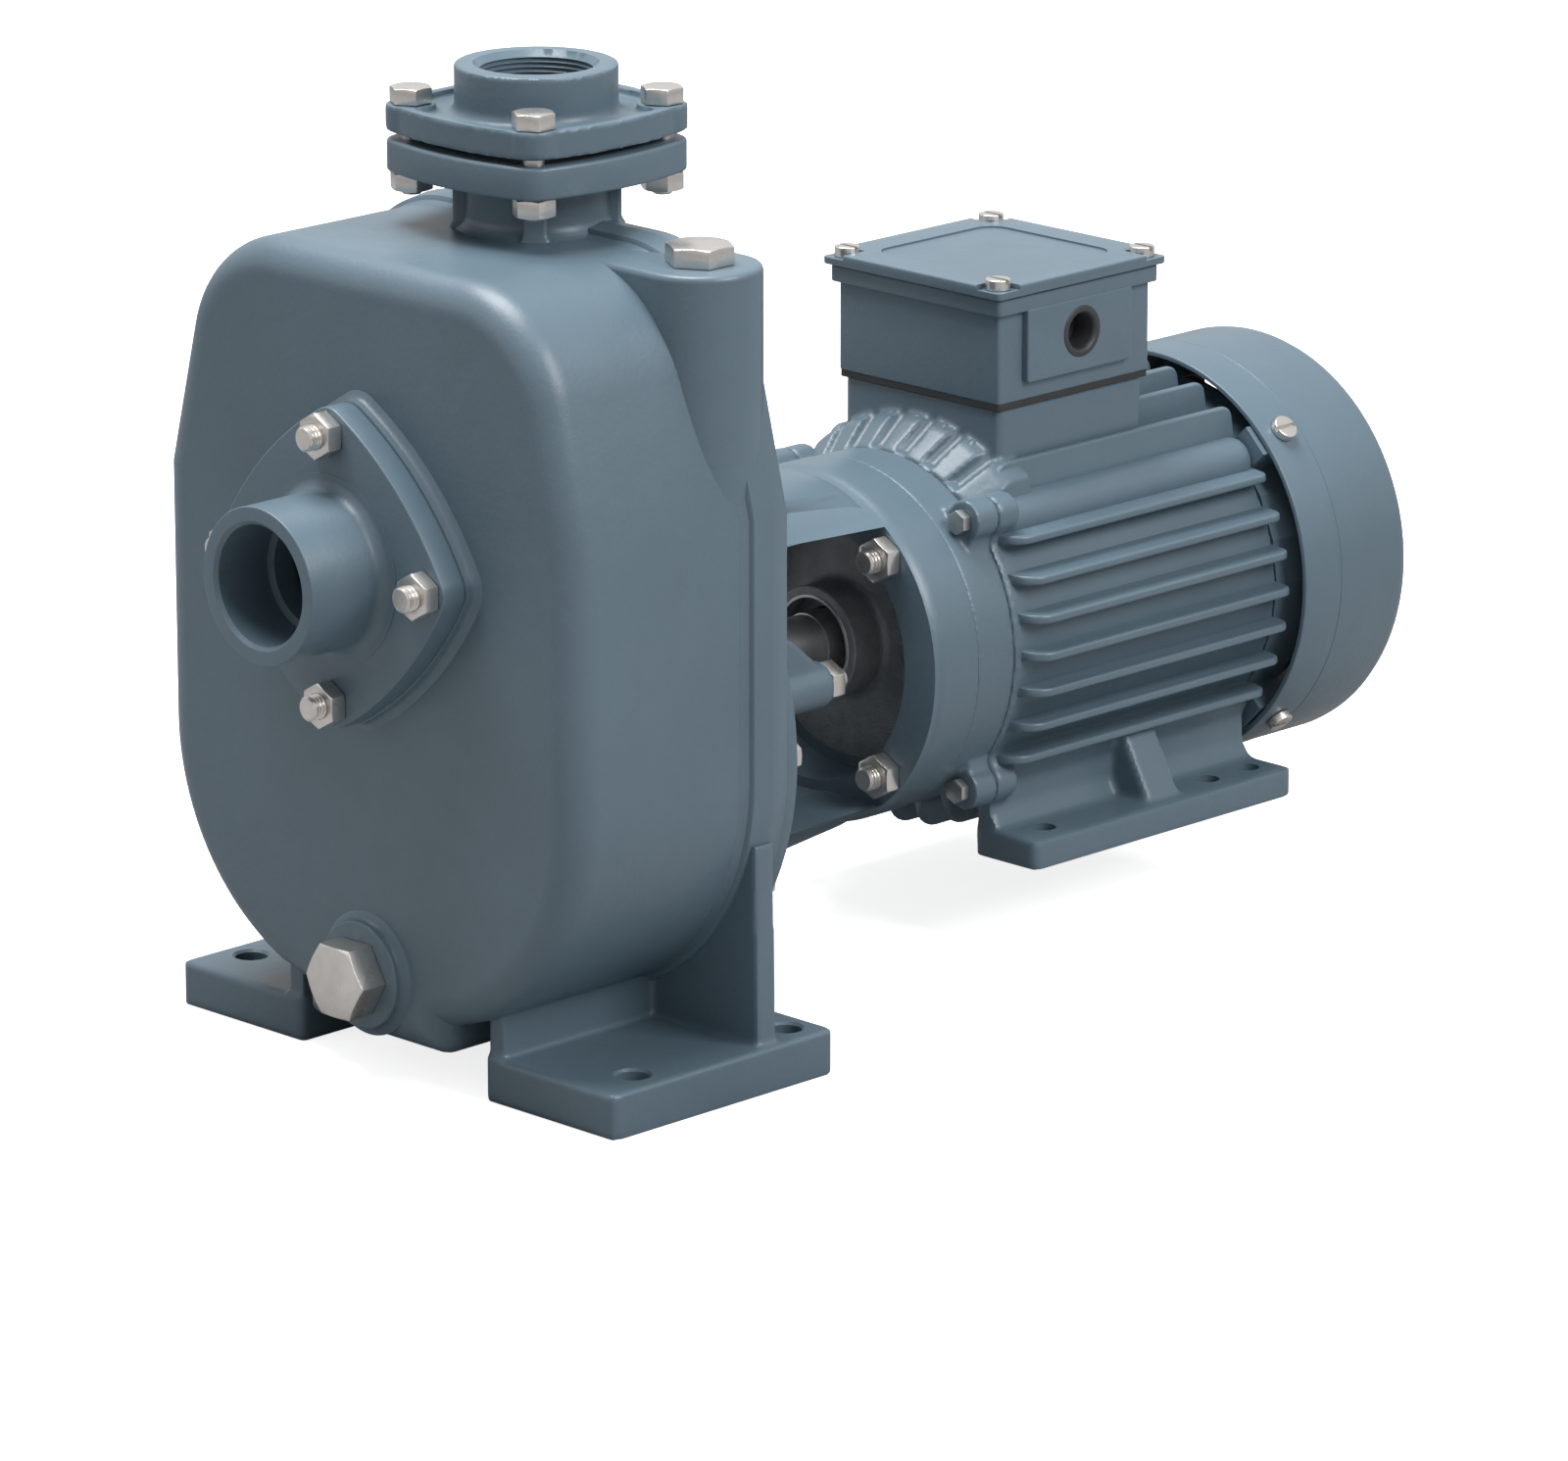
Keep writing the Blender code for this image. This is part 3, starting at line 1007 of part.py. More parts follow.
def fin(offset, tip_radius):
    """A fin along the shaft, standing out along +X at that offset, with its front end leaning back."""
    reach = math.sqrt(tip_radius ** 2 - offset ** 2)
    root = math.sqrt(FIN_ROOT_RADIUS ** 2 - offset ** 2)
    half_root = FIN_THICKNESS / 2
    half_tip = FIN_TIP_THICKNESS / 2
    outline = [(root, offset - half_root), (reach, offset - half_tip), (reach, offset + half_tip),
               (root, offset + half_root)]
    start = FRAME_FRONT + FIN_FRONT_SETBACK
    bm = prism(outline, "Y", start, FRAME_BACK - GAP)
    for vert in bm.verts:
        at_front = abs(vert.co.y - start) < MERGE
        if at_front and vert.co.x > (root + reach) / 2:
            vert.co.y += FIN_NOSE
    return bm


def motor_foot_shapes(side):
    """One foot pad, its leg wall and the rib between them, below the shaft."""
    start = FRAME_FRONT + MOTOR_FOOT_START
    end = start + MOTOR_FOOT_LENGTH
    inner = MOTOR_FOOT_HALF_SPAN - MOTOR_FOOT_WIDTH
    top = MOTOR_FOOT_THICKNESS - CENTRE_HEIGHT
    root = MOTOR_FOOT_THICKNESS / 2 - CENTRE_HEIGHT
    middle = (side * (inner + MOTOR_FOOT_WIDTH / 2), (start + end) / 2)
    outline = rounded_rectangle(MOTOR_FOOT_WIDTH / 2, MOTOR_FOOT_LENGTH / 2, MOTOR_FOOT_CORNER, 1, middle)
    pad = prism(outline, "Z", -CENTRE_HEIGHT, top)
    wall = inner + MOTOR_LEG_WALL
    leg = prism([(side * inner, root), (side * (wall + MOTOR_LEG_FLARE), root),
                 (side * wall, top + MOTOR_LEG_FLARE), (side * wall, -MOTOR_LEG_TOP),
                 (side * inner, -MOTOR_LEG_TOP)], "Y", start + GAP, end - GAP)
    rib = prism([(side * inner, root), (side * (MOTOR_FOOT_HALF_SPAN - MOTOR_RIB_INSET), root),
                 (side * (wall + MOTOR_RIB_INSET), -MOTOR_LEG_TOP), (side * inner, -MOTOR_LEG_TOP)],
                "Y", start + MOTOR_RIB_START, start + MOTOR_RIB_START + MOTOR_RIB_THICKNESS)
    return pad, leg, rib


def make_motor_frame(shop):
    """Finned barrel with bolt lobes, feet and the pedestal of the terminal box."""
    barrel = cylinder(FRAME_RADIUS, FRAME_FRONT, FRAME_BACK, FINE_SIDES)
    frame = shop.piece("motor_frame", barrel, shop.paint, (0, 0, SHAFT_HEIGHT))
    offsets = [FIN_PITCH * (number - (FIN_COUNT - 1) / 2) for number in range(FIN_COUNT)]
    for turn, tip_radius in zip(QUARTERS, [SIDE_FIN_TIP_RADIUS, TOP_FIN_TIP_RADIUS] * 2):
        for offset in offsets:
            shop.join(frame, placed(fin(offset, tip_radius), turn=-turn))
    for x, z in around(LOBE_CIRCLE, DIAGONALS):
        lobe = cylinder(LOBE_RADIUS, FRAME_FRONT, FRAME_BACK - GAP, SCREW_SIDES)
        shop.join(frame, placed(lobe, (x, 0, z)))
    lugs = around(SHIELD_LUG_CIRCLE, DIAGONALS)
    for x, z in lugs:
        lug = cylinder(SHIELD_LUG_RADIUS, FRAME_FRONT + GAP, FRAME_FRONT + SHIELD_LUG_THICKNESS, SCREW_SIDES)
        shop.join(frame, placed(lug, (x, 0, z)))
    for side in (-1, 1):
        for shape in motor_foot_shapes(side):
            shop.join(frame, shape)
    pedestal = rounded_rectangle(PEDESTAL_HALF, PEDESTAL_HALF, BOX_CORNER, 1, (0, BOX_Y))
    shop.join(frame, prism(pedestal, "Z", PEDESTAL_ROOT, PEDESTAL_TOP - SHAFT_HEIGHT))

    shop.drill_along(frame, [(0, 0)], FRAME_BORE_RADIUS, FRAME_FRONT - OVERRUN, FRAME_BACK + OVERRUN,
                     FINE_SIDES)
    hole_front = FRAME_FRONT + MOTOR_FOOT_START + MOTOR_FOOT_HOLE_EDGE
    places = [(side * MOTOR_FOOT_HOLE_X, hole_front + pitch) for side in (-1, 1)
              for pitch in (0, MOTOR_FOOT_HOLE_PITCH, MOTOR_FOOT_HOLE_PITCH + MOTOR_FOOT_HOLE_SPACING)]
    shop.drill_down(frame, places, MOTOR_FOOT_HOLE_RADIUS, -CENTRE_HEIGHT - OVERRUN,
                    MOTOR_FOOT_THICKNESS - CENTRE_HEIGHT + OVERRUN, SCREW_SIDES)
    shop.drill_down(frame, [(0, BOX_Y)], PEDESTAL_BORE_RADIUS, PEDESTAL_ROOT,
                    PEDESTAL_TOP - SHAFT_HEIGHT + OVERRUN, SMALL_SIDES)
    shop.drill_along(frame, lugs, SHIELD_BOLT_RADIUS + GAP, FRAME_FRONT - OVERRUN,
                     FRAME_FRONT + SHIELD_BOLT_GRIP + GAP, HEX_SIDES)


def make_stator_and_rotor(shop):
    """Stator with its end windings, turning core, shaft and bearings."""
    level = (0, 0, SHAFT_HEIGHT)
    core_start = FRAME_FRONT + CORE_START
    core_end = core_start + CORE_LENGTH
    front = core_start - WINDING_OVERHANG
    back = core_end + WINDING_OVERHANG
    outer = FRAME_BORE_RADIUS - GAP
    profile = [(STATOR_BORE_RADIUS, front), (WINDING_RADIUS, front), (WINDING_RADIUS, core_start),
               (outer, core_start), (outer, core_end), (WINDING_RADIUS, core_end), (WINDING_RADIUS, back),
               (STATOR_BORE_RADIUS, back)]
    shop.piece("stator", turned(profile, FINE_SIDES), shop.copper, level)
    core = tube(ROTOR_RADIUS, SHAFT_CORE_RADIUS + GAP, core_start, core_end, INNER_SIDES)
    shop.piece("rotor_core", core, shop.steel, parent=shop.rotor_axis)

    front_pocket = SHIELD_BACK - BEARING_POCKET_DEPTH + GAP
    rear_pocket = REAR_SHIELD_FRONT + BEARING_POCKET_DEPTH
    fan_end = REAR_SHIELD_FRONT + FAN_START + FAN_HUB_LENGTH
    tip = VANE_FRONT + NUT_CROWN + GAP
    profile = [(0, tip), (SHAFT_TIP_RADIUS, tip), (SHAFT_TIP_RADIUS, CASING_BACK),
               (SHAFT_SEAL_RADIUS, CASING_BACK), (SHAFT_SEAL_RADIUS, MOTOR_FLANGE_FRONT),
               (SHAFT_BEARING_RADIUS, MOTOR_FLANGE_FRONT), (SHAFT_BEARING_RADIUS, SHIELD_BACK),
               (SHAFT_CORE_RADIUS, SHIELD_BACK + GAP), (SHAFT_CORE_RADIUS, REAR_SHIELD_FRONT - GAP),
               (SHAFT_BEARING_RADIUS, REAR_SHIELD_FRONT), (SHAFT_BEARING_RADIUS, rear_pocket),
               (SHAFT_FAN_RADIUS, rear_pocket), (SHAFT_FAN_RADIUS, fan_end), (0, fan_end)]
    shop.piece("rotor_shaft", turned(profile, INNER_SIDES), shop.steel, parent=shop.rotor_axis)
    bore = SHAFT_BEARING_RADIUS + RUNNING_GAP
    bearing = tube(BEARING_RADIUS, bore, front_pocket, front_pocket + BEARING_WIDTH, FINE_SIDES)
    shop.piece("front_bearing", bearing, shop.steel, level)
    bearing = tube(REAR_BEARING_RADIUS, bore, rear_pocket - GAP - BEARING_WIDTH, rear_pocket - GAP,
                   FINE_SIDES)
    shop.piece("rear_bearing", bearing, shop.steel, level)


def make_seal(shop):
    """Fixed seat in the housing's neck and the ring that turns with the shaft in front of it."""
    seat = tube(SEAL_BORE_RADIUS - GAP, SEAL_SEAT_BORE, SEAL_SEAT_FRONT, SEAL_SEAT_BACK - GAP, FINE_SIDES)
    shop.piece("seal_seat", seat, shop.iron, (0, 0, SHAFT_HEIGHT))
    ring = tube(SEAL_RING_RADIUS, SHAFT_SEAL_RADIUS + GAP, CASING_BACK + GAP, SEAL_SEAT_FRONT - GAP,
                INNER_SIDES)
    shop.piece("seal_ring", ring, shop.steel, parent=shop.rotor_axis)


def make_rear_shield(shop):
    """Non-drive-end shield with its bearing pocket and the lugs that the fan cover is screwed to."""
    pocket = REAR_SHIELD_FRONT + BEARING_POCKET_DEPTH
    hub = REAR_BEARING_RADIUS + REAR_HUB_WALL
    web_back = REAR_SHIELD_FRONT + REAR_SHIELD_WEB
    rim = REAR_SHIELD_RADIUS - REAR_SHIELD_WEB
    through = SHAFT_BEARING_RADIUS + RUNNING_GAP
    profile = [(REAR_BEARING_RADIUS + GAP, REAR_SHIELD_FRONT), (REAR_SHIELD_RADIUS, REAR_SHIELD_FRONT),
               (REAR_SHIELD_RADIUS, REAR_SHIELD_BACK), (rim, REAR_SHIELD_BACK), (rim, web_back),
               (hub, web_back), (hub, REAR_SHIELD_BACK), (through, REAR_SHIELD_BACK), (through, pocket),
               (REAR_BEARING_RADIUS + GAP, pocket)]
    shield = shop.piece("motor_rear_shield", turned(profile, FINE_SIDES), shop.paint, (0, 0, SHAFT_HEIGHT))
    inner = COVER_RADIUS - COVER_WALL - REAR_LUG_CLEARANCE
    lug = rectangle((inner - rim) / 2, REAR_LUG_WIDTH / 2, ((inner + rim) / 2, 0))
    tip = inner - COVER_SCREW_DEPTH
    seat = COVER_RADIUS + GAP
    crown = seat + COVER_SCREW_HEAD
    profile = [(0, tip + GAP), (COVER_SCREW_RADIUS, tip + GAP), (COVER_SCREW_RADIUS, seat),
               (COVER_SCREW_HEAD_RADIUS, seat), (COVER_SCREW_HEAD_RADIUS, (seat + crown) / 2),
               (COVER_SCREW_HEAD_RADIUS / 2, crown), (0, crown)]
    for number, turn in enumerate(DIAGONALS, 1):
        shape = prism(lug, "Y", REAR_SHIELD_FRONT + GAP, REAR_SHIELD_BACK - GAP)
        shop.join(shield, placed(shape, turn=-turn))
        hole = cylinder(COVER_SCREW_RADIUS + GAP, tip, inner + OVERRUN, SCREW_SIDES)
        shop.cut(shield, at_cover_screw(hole, turn))
        screw = at_cover_screw(turned(profile, SCREW_SIDES), turn)
        shop.piece(f"fan_cover_screw_{number}", screw, shop.zinc, (0, 0, SHAFT_HEIGHT))


def at_cover_screw(bm, turn):
    """Point a shape turned about Y outwards, at one of the fan cover's screws."""
    return placed(placed(sideways(bm), (0, COVER_FRONT + COVER_SCREW_PLACE, 0)), turn=-turn)


def grille_slot(inner, start, end):
    """One curved slot of the grille, between two spokes."""
    outer = inner + GRILLE_SLOT_WIDTH
    margin = GRILLE_SPOKE_WIDTH / 2
    outline = arc((0, 0), outer, start + margin / outer, end - margin / outer, GRILLE_ARC_STEPS)
    outline += arc((0, 0), inner, end - margin / inner, start + margin / inner, GRILLE_ARC_STEPS)
    return prism(outline, "Y", COVER_BACK - COVER_WALL - OVERRUN, COVER_BACK + OVERRUN)


def make_fan_cover(shop):
    """Drawn sheet cover with a rolled rear edge and rings of curved air slots."""
    centre = (COVER_RADIUS - COVER_BEND, COVER_BACK - COVER_BEND)
    outer_bend = arc(centre, COVER_BEND, 0, math.pi / 2, COVER_BEND_STEPS)
    inner_bend = arc(centre, COVER_BEND - COVER_WALL, math.pi / 2, 0, COVER_BEND_STEPS)
    profile = [(0, COVER_BACK - COVER_WALL)] + inner_bend
    profile += [(COVER_RADIUS - COVER_WALL, COVER_FRONT), (COVER_RADIUS, COVER_FRONT)]
    profile += outer_bend + [(0, COVER_BACK)]
    cover = shop.piece("fan_cover", turned(profile, FINE_SIDES), shop.paint, (0, 0, SHAFT_HEIGHT))
    slots = []
    pitch = math.tau / GRILLE_SPOKES
    for ring in range(GRILLE_RINGS):
        for spoke in range(GRILLE_SPOKES):
            inner = GRILLE_INNER_RADIUS + ring * GRILLE_RING_PITCH
            slots.append(grille_slot(inner, pitch * spoke, pitch * (spoke + 1)))
    shop.cut(cover, gathered(slots))
    holes = [at_cover_screw(cylinder(COVER_SCREW_RADIUS + GAP, COVER_RADIUS - COVER_WALL - OVERRUN,
                                     COVER_RADIUS + OVERRUN, SCREW_SIDES), turn) for turn in DIAGONALS]
    shop.cut(cover, gathered(holes))


def make_cooling_fan(shop):
    """Hub, thin disc and straight radial blades, driven by the rear shaft end."""
    start = REAR_SHIELD_FRONT + FAN_START
    end = start + FAN_HUB_LENGTH
    bore = SHAFT_FAN_RADIUS + GAP
    disc_back = start + FAN_DISC_THICKNESS
    profile = [(bore, start), (FAN_RADIUS, start), (FAN_RADIUS, disc_back), (FAN_HUB_RADIUS, disc_back),
               (FAN_HUB_RADIUS, end), (bore, end)]
    fan = shop.piece("cooling_fan", turned(profile, INNER_SIDES), shop.plastic, parent=shop.rotor_axis)
    root = FAN_HUB_RADIUS - FAN_BLADE_SINK
    tip = FAN_RADIUS - FAN_BLADE_SINK
    blade = rectangle((tip - root) / 2, FAN_BLADE_THICKNESS / 2, ((tip + root) / 2, 0))
    for number in range(FAN_BLADE_COUNT):
        shape = prism(blade, "Y", (start + disc_back) / 2, end - GAP)
        shop.join(fan, placed(shape, turn=math.tau * number / FAN_BLADE_COUNT))


def lid_screw_places():
    return [(sign_x * (LID_HALF_X - LID_SCREW_INSET), BOX_Y + sign_y * (LID_HALF_Y - LID_SCREW_INSET))
            for sign_x, sign_y in CORNER_SIGNS]


def box_outline(grow, steps):
    return rounded_rectangle(BOX_HALF_X + grow, BOX_HALF_Y + grow, BOX_CORNER, steps, (0, BOX_Y))


def make_terminal_box(shop):
    """Gasket and open box, with its rim, entry pad, screw bosses and holes."""
    outline = rounded_rectangle(PEDESTAL_HALF, PEDESTAL_HALF, BOX_CORNER, 1, (0, BOX_Y))
    item = shop.piece("terminal_box_gasket", prism(outline, "Z", PEDESTAL_TOP + GAP, BOX_BOTTOM - GAP),
                      shop.rubber)
    shop.drill_down(item, [(0, BOX_Y)], PEDESTAL_BORE_RADIUS, PEDESTAL_TOP - OVERRUN, BOX_BOTTOM + OVERRUN,
                    SMALL_SIDES)

    box = shop.piece("terminal_box", prism(box_outline(0, 2), "Z", BOX_BOTTOM, BOX_TOP), shop.paint)
    shop.join(box, prism(box_outline(BOX_LIP_PROUD, 2), "Z", BOX_TOP - BOX_LIP_HEIGHT, BOX_TOP - GAP))
    pad = rectangle(ENTRY_PAD_HALF_Y, ENTRY_PAD_HALF_Z, (BOX_Y, ENTRY_HEIGHT))
    shop.join(box, prism(pad, "X", BOX_HALF_X - BOX_WALL / 2, ENTRY_FACE))
    shop.cut(box, prism(box_outline(-BOX_WALL, 1), "Z", BOX_BOTTOM + BOX_WALL, BOX_TOP + OVERRUN))
    for place in lid_screw_places():
        shop.join(box, prism(rectangle(LID_BOSS_HALF, LID_BOSS_HALF, place), "Z",
                             BOX_TOP - BOX_LIP_HEIGHT + GAP, BOX_TOP - GAP))
    shop.drill_down(box, [(0, BOX_Y)], PEDESTAL_BORE_RADIUS, BOX_BOTTOM - OVERRUN,
                    BOX_BOTTOM + BOX_WALL + OVERRUN, SMALL_SIDES)
    shop.drill_down(box, lid_screw_places(), LID_SCREW_RADIUS + GAP, BOX_TOP - LID_SCREW_DEPTH - GAP,
                    BOX_TOP + OVERRUN, SCREW_SIDES)
    hole = sideways(cylinder(ENTRY_HOLE_RADIUS, BOX_HALF_X - BOX_WALL - OVERRUN, ENTRY_FACE + OVERRUN,
                             SMALL_SIDES))
    shop.cut(box, placed(hole, (0, BOX_Y + ENTRY_SHIFT, ENTRY_HEIGHT)))


def make_box_fittings(shop):
    """Bush of the cable entry, lid with panel and notches, its screws, and the terminal board."""
    rim = ENTRY_FACE + GAP
    face = rim + ENTRY_BUSH_RIM_PROUD
    back = BOX_HALF_X - BOX_WALL
    collar = ENTRY_HOLE_RADIUS - GAP
    bush = turned([(ENTRY_BORE_RADIUS, back), (collar, back), (collar, rim), (ENTRY_BUSH_RADIUS, rim),
                   (ENTRY_BUSH_RADIUS, face), (ENTRY_BORE_RADIUS, face)], SMALL_SIDES)
    shop.piece("cable_entry_bush", sideways(bush), shop.plastic, (0, BOX_Y + ENTRY_SHIFT, ENTRY_HEIGHT))

    outline = rounded_rectangle(LID_HALF_X, LID_HALF_Y, LID_CORNER, 2, (0, BOX_Y))
    lid = shop.piece("terminal_box_lid", prism(outline, "Z", LID_BOTTOM, LID_TOP), shop.paint)
    panel = []
    half_x = LID_HALF_X - LID_PANEL_INSET
    half_y = LID_HALF_Y - LID_PANEL_INSET
    for quarter, (sign_x, sign_y) in zip(QUARTERS, OUTLINE_SIGNS):
        panel += arc((sign_x * half_x, BOX_Y + sign_y * half_y), LID_NOTCH_RADIUS, quarter - math.pi / 2,
                     quarter - math.pi, LID_NOTCH_STEPS)
    shop.cut(lid, prism(panel, "Z", LID_TOP - LID_PANEL_DEPTH, LID_TOP + OVERRUN))
    shop.drill_down(lid, lid_screw_places(), LID_SCREW_RADIUS + GAP, LID_BOTTOM - OVERRUN,
                    LID_TOP + OVERRUN, SCREW_SIDES)
    tip = BOX_TOP - LID_SCREW_DEPTH
    head = LID_TOP + GAP
    crown = head + LID_SCREW_HEAD
    for number, (x, y) in enumerate(lid_screw_places(), 1):
        screw = turned([(0, tip), (LID_SCREW_RADIUS, tip), (LID_SCREW_RADIUS, head),
                        (LID_SCREW_HEAD_RADIUS, head), (LID_SCREW_HEAD_RADIUS, crown), (0, crown)],
                       SCREW_SIDES)
        shop.piece(f"lid_screw_{number}", upright(screw), shop.zinc, (x, y, 0))

    floor = BOX_BOTTOM + BOX_WALL + GAP
    top = floor + BOARD_THICKNESS
    board = shop.piece("terminal_board", prism(rectangle(BOARD_HALF_X, BOARD_HALF_Y, (0, BOX_Y)), "Z",
                                               floor, top), shop.plastic)
    for column in (-1, 0, 1):
        for row in (-1, 1):
            post = upright(cylinder(TERMINAL_RADIUS, (floor + top) / 2, top + TERMINAL_HEIGHT, HEX_SIDES))
            place = (column * TERMINAL_PITCH, BOX_Y + row * TERMINAL_PITCH / 2, 0)
            shop.join(board, placed(post, place))


def main():
    clear_scene()
    shop = Workshop()
    make_casing(shop)
    make_discharge(shop)
    make_discharge_bolts(shop)
    make_suction(shop)
    make_plugs(shop)
    make_check_valve(shop)
    make_volute(shop)
    make_impeller(shop)
    make_seal_housing(shop)
    make_seal(shop)
    make_lantern(shop)
    make_front_shield(shop)
    make_motor_frame(shop)
    make_stator_and_rotor(shop)
    make_rear_shield(shop)
    make_fan_cover(shop)
    make_cooling_fan(shop)
    make_terminal_box(shop)
    make_box_fittings(shop)


main()
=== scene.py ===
"""Slurry pump with its motor: cast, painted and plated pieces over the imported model."""

import json
from math import asin, atan2, cos, pi, radians, sin, sqrt, tan, tau

import bmesh
import bpy
from mathutils import Matrix, Vector


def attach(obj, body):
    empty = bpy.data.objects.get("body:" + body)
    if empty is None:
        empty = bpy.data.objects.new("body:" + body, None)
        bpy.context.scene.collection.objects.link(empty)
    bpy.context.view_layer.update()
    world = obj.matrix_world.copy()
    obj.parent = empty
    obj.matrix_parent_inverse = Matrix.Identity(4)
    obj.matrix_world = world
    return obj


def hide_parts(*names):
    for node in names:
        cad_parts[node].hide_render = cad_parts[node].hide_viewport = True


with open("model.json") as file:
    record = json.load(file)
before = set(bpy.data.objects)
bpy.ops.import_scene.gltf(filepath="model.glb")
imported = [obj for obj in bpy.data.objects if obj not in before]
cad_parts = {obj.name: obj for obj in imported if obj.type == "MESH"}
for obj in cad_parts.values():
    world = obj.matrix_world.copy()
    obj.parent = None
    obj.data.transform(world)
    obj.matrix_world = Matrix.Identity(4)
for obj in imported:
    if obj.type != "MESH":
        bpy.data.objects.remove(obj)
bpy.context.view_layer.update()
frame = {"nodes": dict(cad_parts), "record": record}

bl_info = {
    "name": "Slurry pump dressing",
    "version": (1, 0, 0),
    "blender": (4, 5, 0),
    "location": "3D view > Sidebar > Pump",
    "description": "Casts, machines and paints the visible pieces of a slurry pump with its motor",
    "category": "Object",
}

# The part's own layout counts y from the front edge of the pump feet
FEET_FRONT = -0.24735

# Working values
MERGE = 0.00001
OVERRUN = 0.003
RIGHT_ANGLE = radians(90)
SHARP_ANGLE = radians(38)
BEVEL_ANGLE = radians(35)
TURN_SIDES = 96
SMALL_SIDES = 40
SHAFT_SIDES = 64
ARC_STEPS = 12
LONG_ARC = 24
EASE_STEPS = 5
QUARTERS = [radians(90 * quarter) for quarter in range(4)]
DIAGONALS = [radians(45 + 90 * quarter) for quarter in range(4)]
CORNER_SIGNS = [(1, 1), (-1, 1), (-1, -1), (1, -1)]

# Stations along the shaft and heights
SHAFT_HEIGHT = 0.145
CASING_FRONT = -0.014
LIP_FRONT = 0.091
CASING_BACK = 0.1125
PLATE_FRONT = 0.1128
PLATE_BACK = 0.1213
FLANGE_FRONT = 0.2603
FLANGE_BACK = 0.2876
SHIELD_FRONT = 0.2879
SHIELD_BACK = 0.3118
FRAME_FRONT = 0.3121
FRAME_BACK = 0.4906
COVER_FRONT = 0.4941
COVER_BACK = 0.5698
CASING_TOP = 0.3696


def in_space(pair, axis, along):
    """A point of a flat sketch, set square to an axis at a distance along it."""
    first, second = pair
    return {"X": (along, first, second), "Y": (first, along, second), "Z": (first, second, along)}[axis]


def sketch(points, axis, along=0.0, closed=True):
    """A line through (a, b) points; a third value rounds that corner off."""
    bm = bmesh.new()
    verts = [bm.verts.new(in_space(point[:2], axis, along)) for point in points]
    for pair in zip(verts, verts[1:]):
        bm.edges.new(pair)
    if closed:
        bm.edges.new((verts[-1], verts[0]))
    for vert, point in zip(verts, points):
        if len(point) > 2:
            bmesh.ops.bevel(bm, geom=[vert], offset=point[2], segments=EASE_STEPS, profile=0.5,
                            affect="VERTICES", material=-1)
    return bm


def slab(points, axis, start, end):
    """Fill a sketch and draw it out along its axis."""
    bm = sketch(points, axis, start)
    bmesh.ops.contextual_create(bm, geom=bm.edges[:])
    grown = bmesh.ops.extrude_face_region(bm, geom=bm.faces[:])
    verts = [item for item in grown["geom"] if isinstance(item, bmesh.types.BMVert)]
    bmesh.ops.translate(bm, verts=verts, vec=in_space((0, 0), axis, end - start))
    bmesh.ops.recalc_face_normals(bm, faces=bm.faces[:])
    return bm


def lathe(points, closed=False, sides=TURN_SIDES):
    """Turn a profile of (radius, y) points round the Y axis."""
    bm = sketch(points, "Z", 0, closed)
    bmesh.ops.spin(bm, geom=bm.verts[:] + bm.edges[:], cent=(0, 0, 0), axis=(0, 1, 0), dvec=(0, 0, 0),
                   angle=tau, steps=sides, use_merge=True, use_duplicate=False)
    bmesh.ops.remove_doubles(bm, verts=bm.verts[:], dist=MERGE)
    bmesh.ops.recalc_face_normals(bm, faces=bm.faces[:])
    return bm


def lofted(outline, stations, axis="Y"):
    """Skin over one outline, drawn at each (along, grow) station and closed at both ends."""
    bm = gathered([sketch(outline(grow), axis, along) for along, grow in stations])
    bm.edges.ensure_lookup_table()
    count = len(bm.edges) // len(stations)
    rings = [bm.edges[number * count:(number + 1) * count] for number in range(len(stations))]
    for near, far in zip(rings, rings[1:]):
        bmesh.ops.bridge_loops(bm, edges=near + far)
    for ring in (rings[0], rings[-1]):
        bmesh.ops.contextual_create(bm, geom=ring)
    bmesh.ops.recalc_face_normals(bm, faces=bm.faces[:])
    return bm


def drum(radius, start, end, ease=0.0, sides=TURN_SIDES):
    """A turned solid, its rims rounded off where an ease is given."""
    tail = (ease,) if ease else ()
    return lathe([(0, start), (radius, start, *tail), (radius, end, *tail), (0, end)], sides=sides)


def tube(bore, radius, start, end):
    """A turned ring with square rims."""
    return lathe([(bore, start), (radius, start), (radius, end), (bore, end)], closed=True)


def pin(radius, start, end):
    """A slim turned solid, such as a shank or a drill bit."""
    return drum(radius, start, end, sides=SMALL_SIDES)


def moved(bm, offset=(0, 0, 0), turn=0, about="Y"):
    """Turn a shape about an axis through the origin, then shift it."""
    matrix = Matrix.Translation(offset) @ Matrix.Rotation(turn, 4, about)
    bmesh.ops.transform(bm, matrix=matrix, verts=bm.verts[:])
    return bm


def upright(bm):
    """Stand a shape turned about Y on end, so that +Y becomes +Z."""
    return moved(bm, turn=RIGHT_ANGLE, about="X")


def sideways(bm):
    """Lay a shape turned about Y along X."""
    return moved(bm, turn=-RIGHT_ANGLE, about="Z")


def reversed_along_y(bm):
    """Point a shape turned about Y the other way."""
    return moved(bm, turn=pi, about="Z")


def gathered(shapes):
    """Several shapes as one mesh."""
    whole = bmesh.new()
    for shape in shapes:
        mesh = bpy.data.meshes.new("gathered")
        shape.to_mesh(mesh)
        shape.free()
        whole.from_mesh(mesh)
        bpy.data.meshes.remove(mesh)
    return whole


def repeated(bm, matrices):
    """The same shape at several places, as one mesh."""
    mesh = bpy.data.meshes.new("repeated")
    bm.to_mesh(mesh)
    bm.free()
    whole = bmesh.new()
    for matrix in matrices:
        placed = mesh.copy()
        placed.transform(matrix)
        whole.from_mesh(placed)
        bpy.data.meshes.remove(placed)
    bpy.data.meshes.remove(mesh)
    return whole


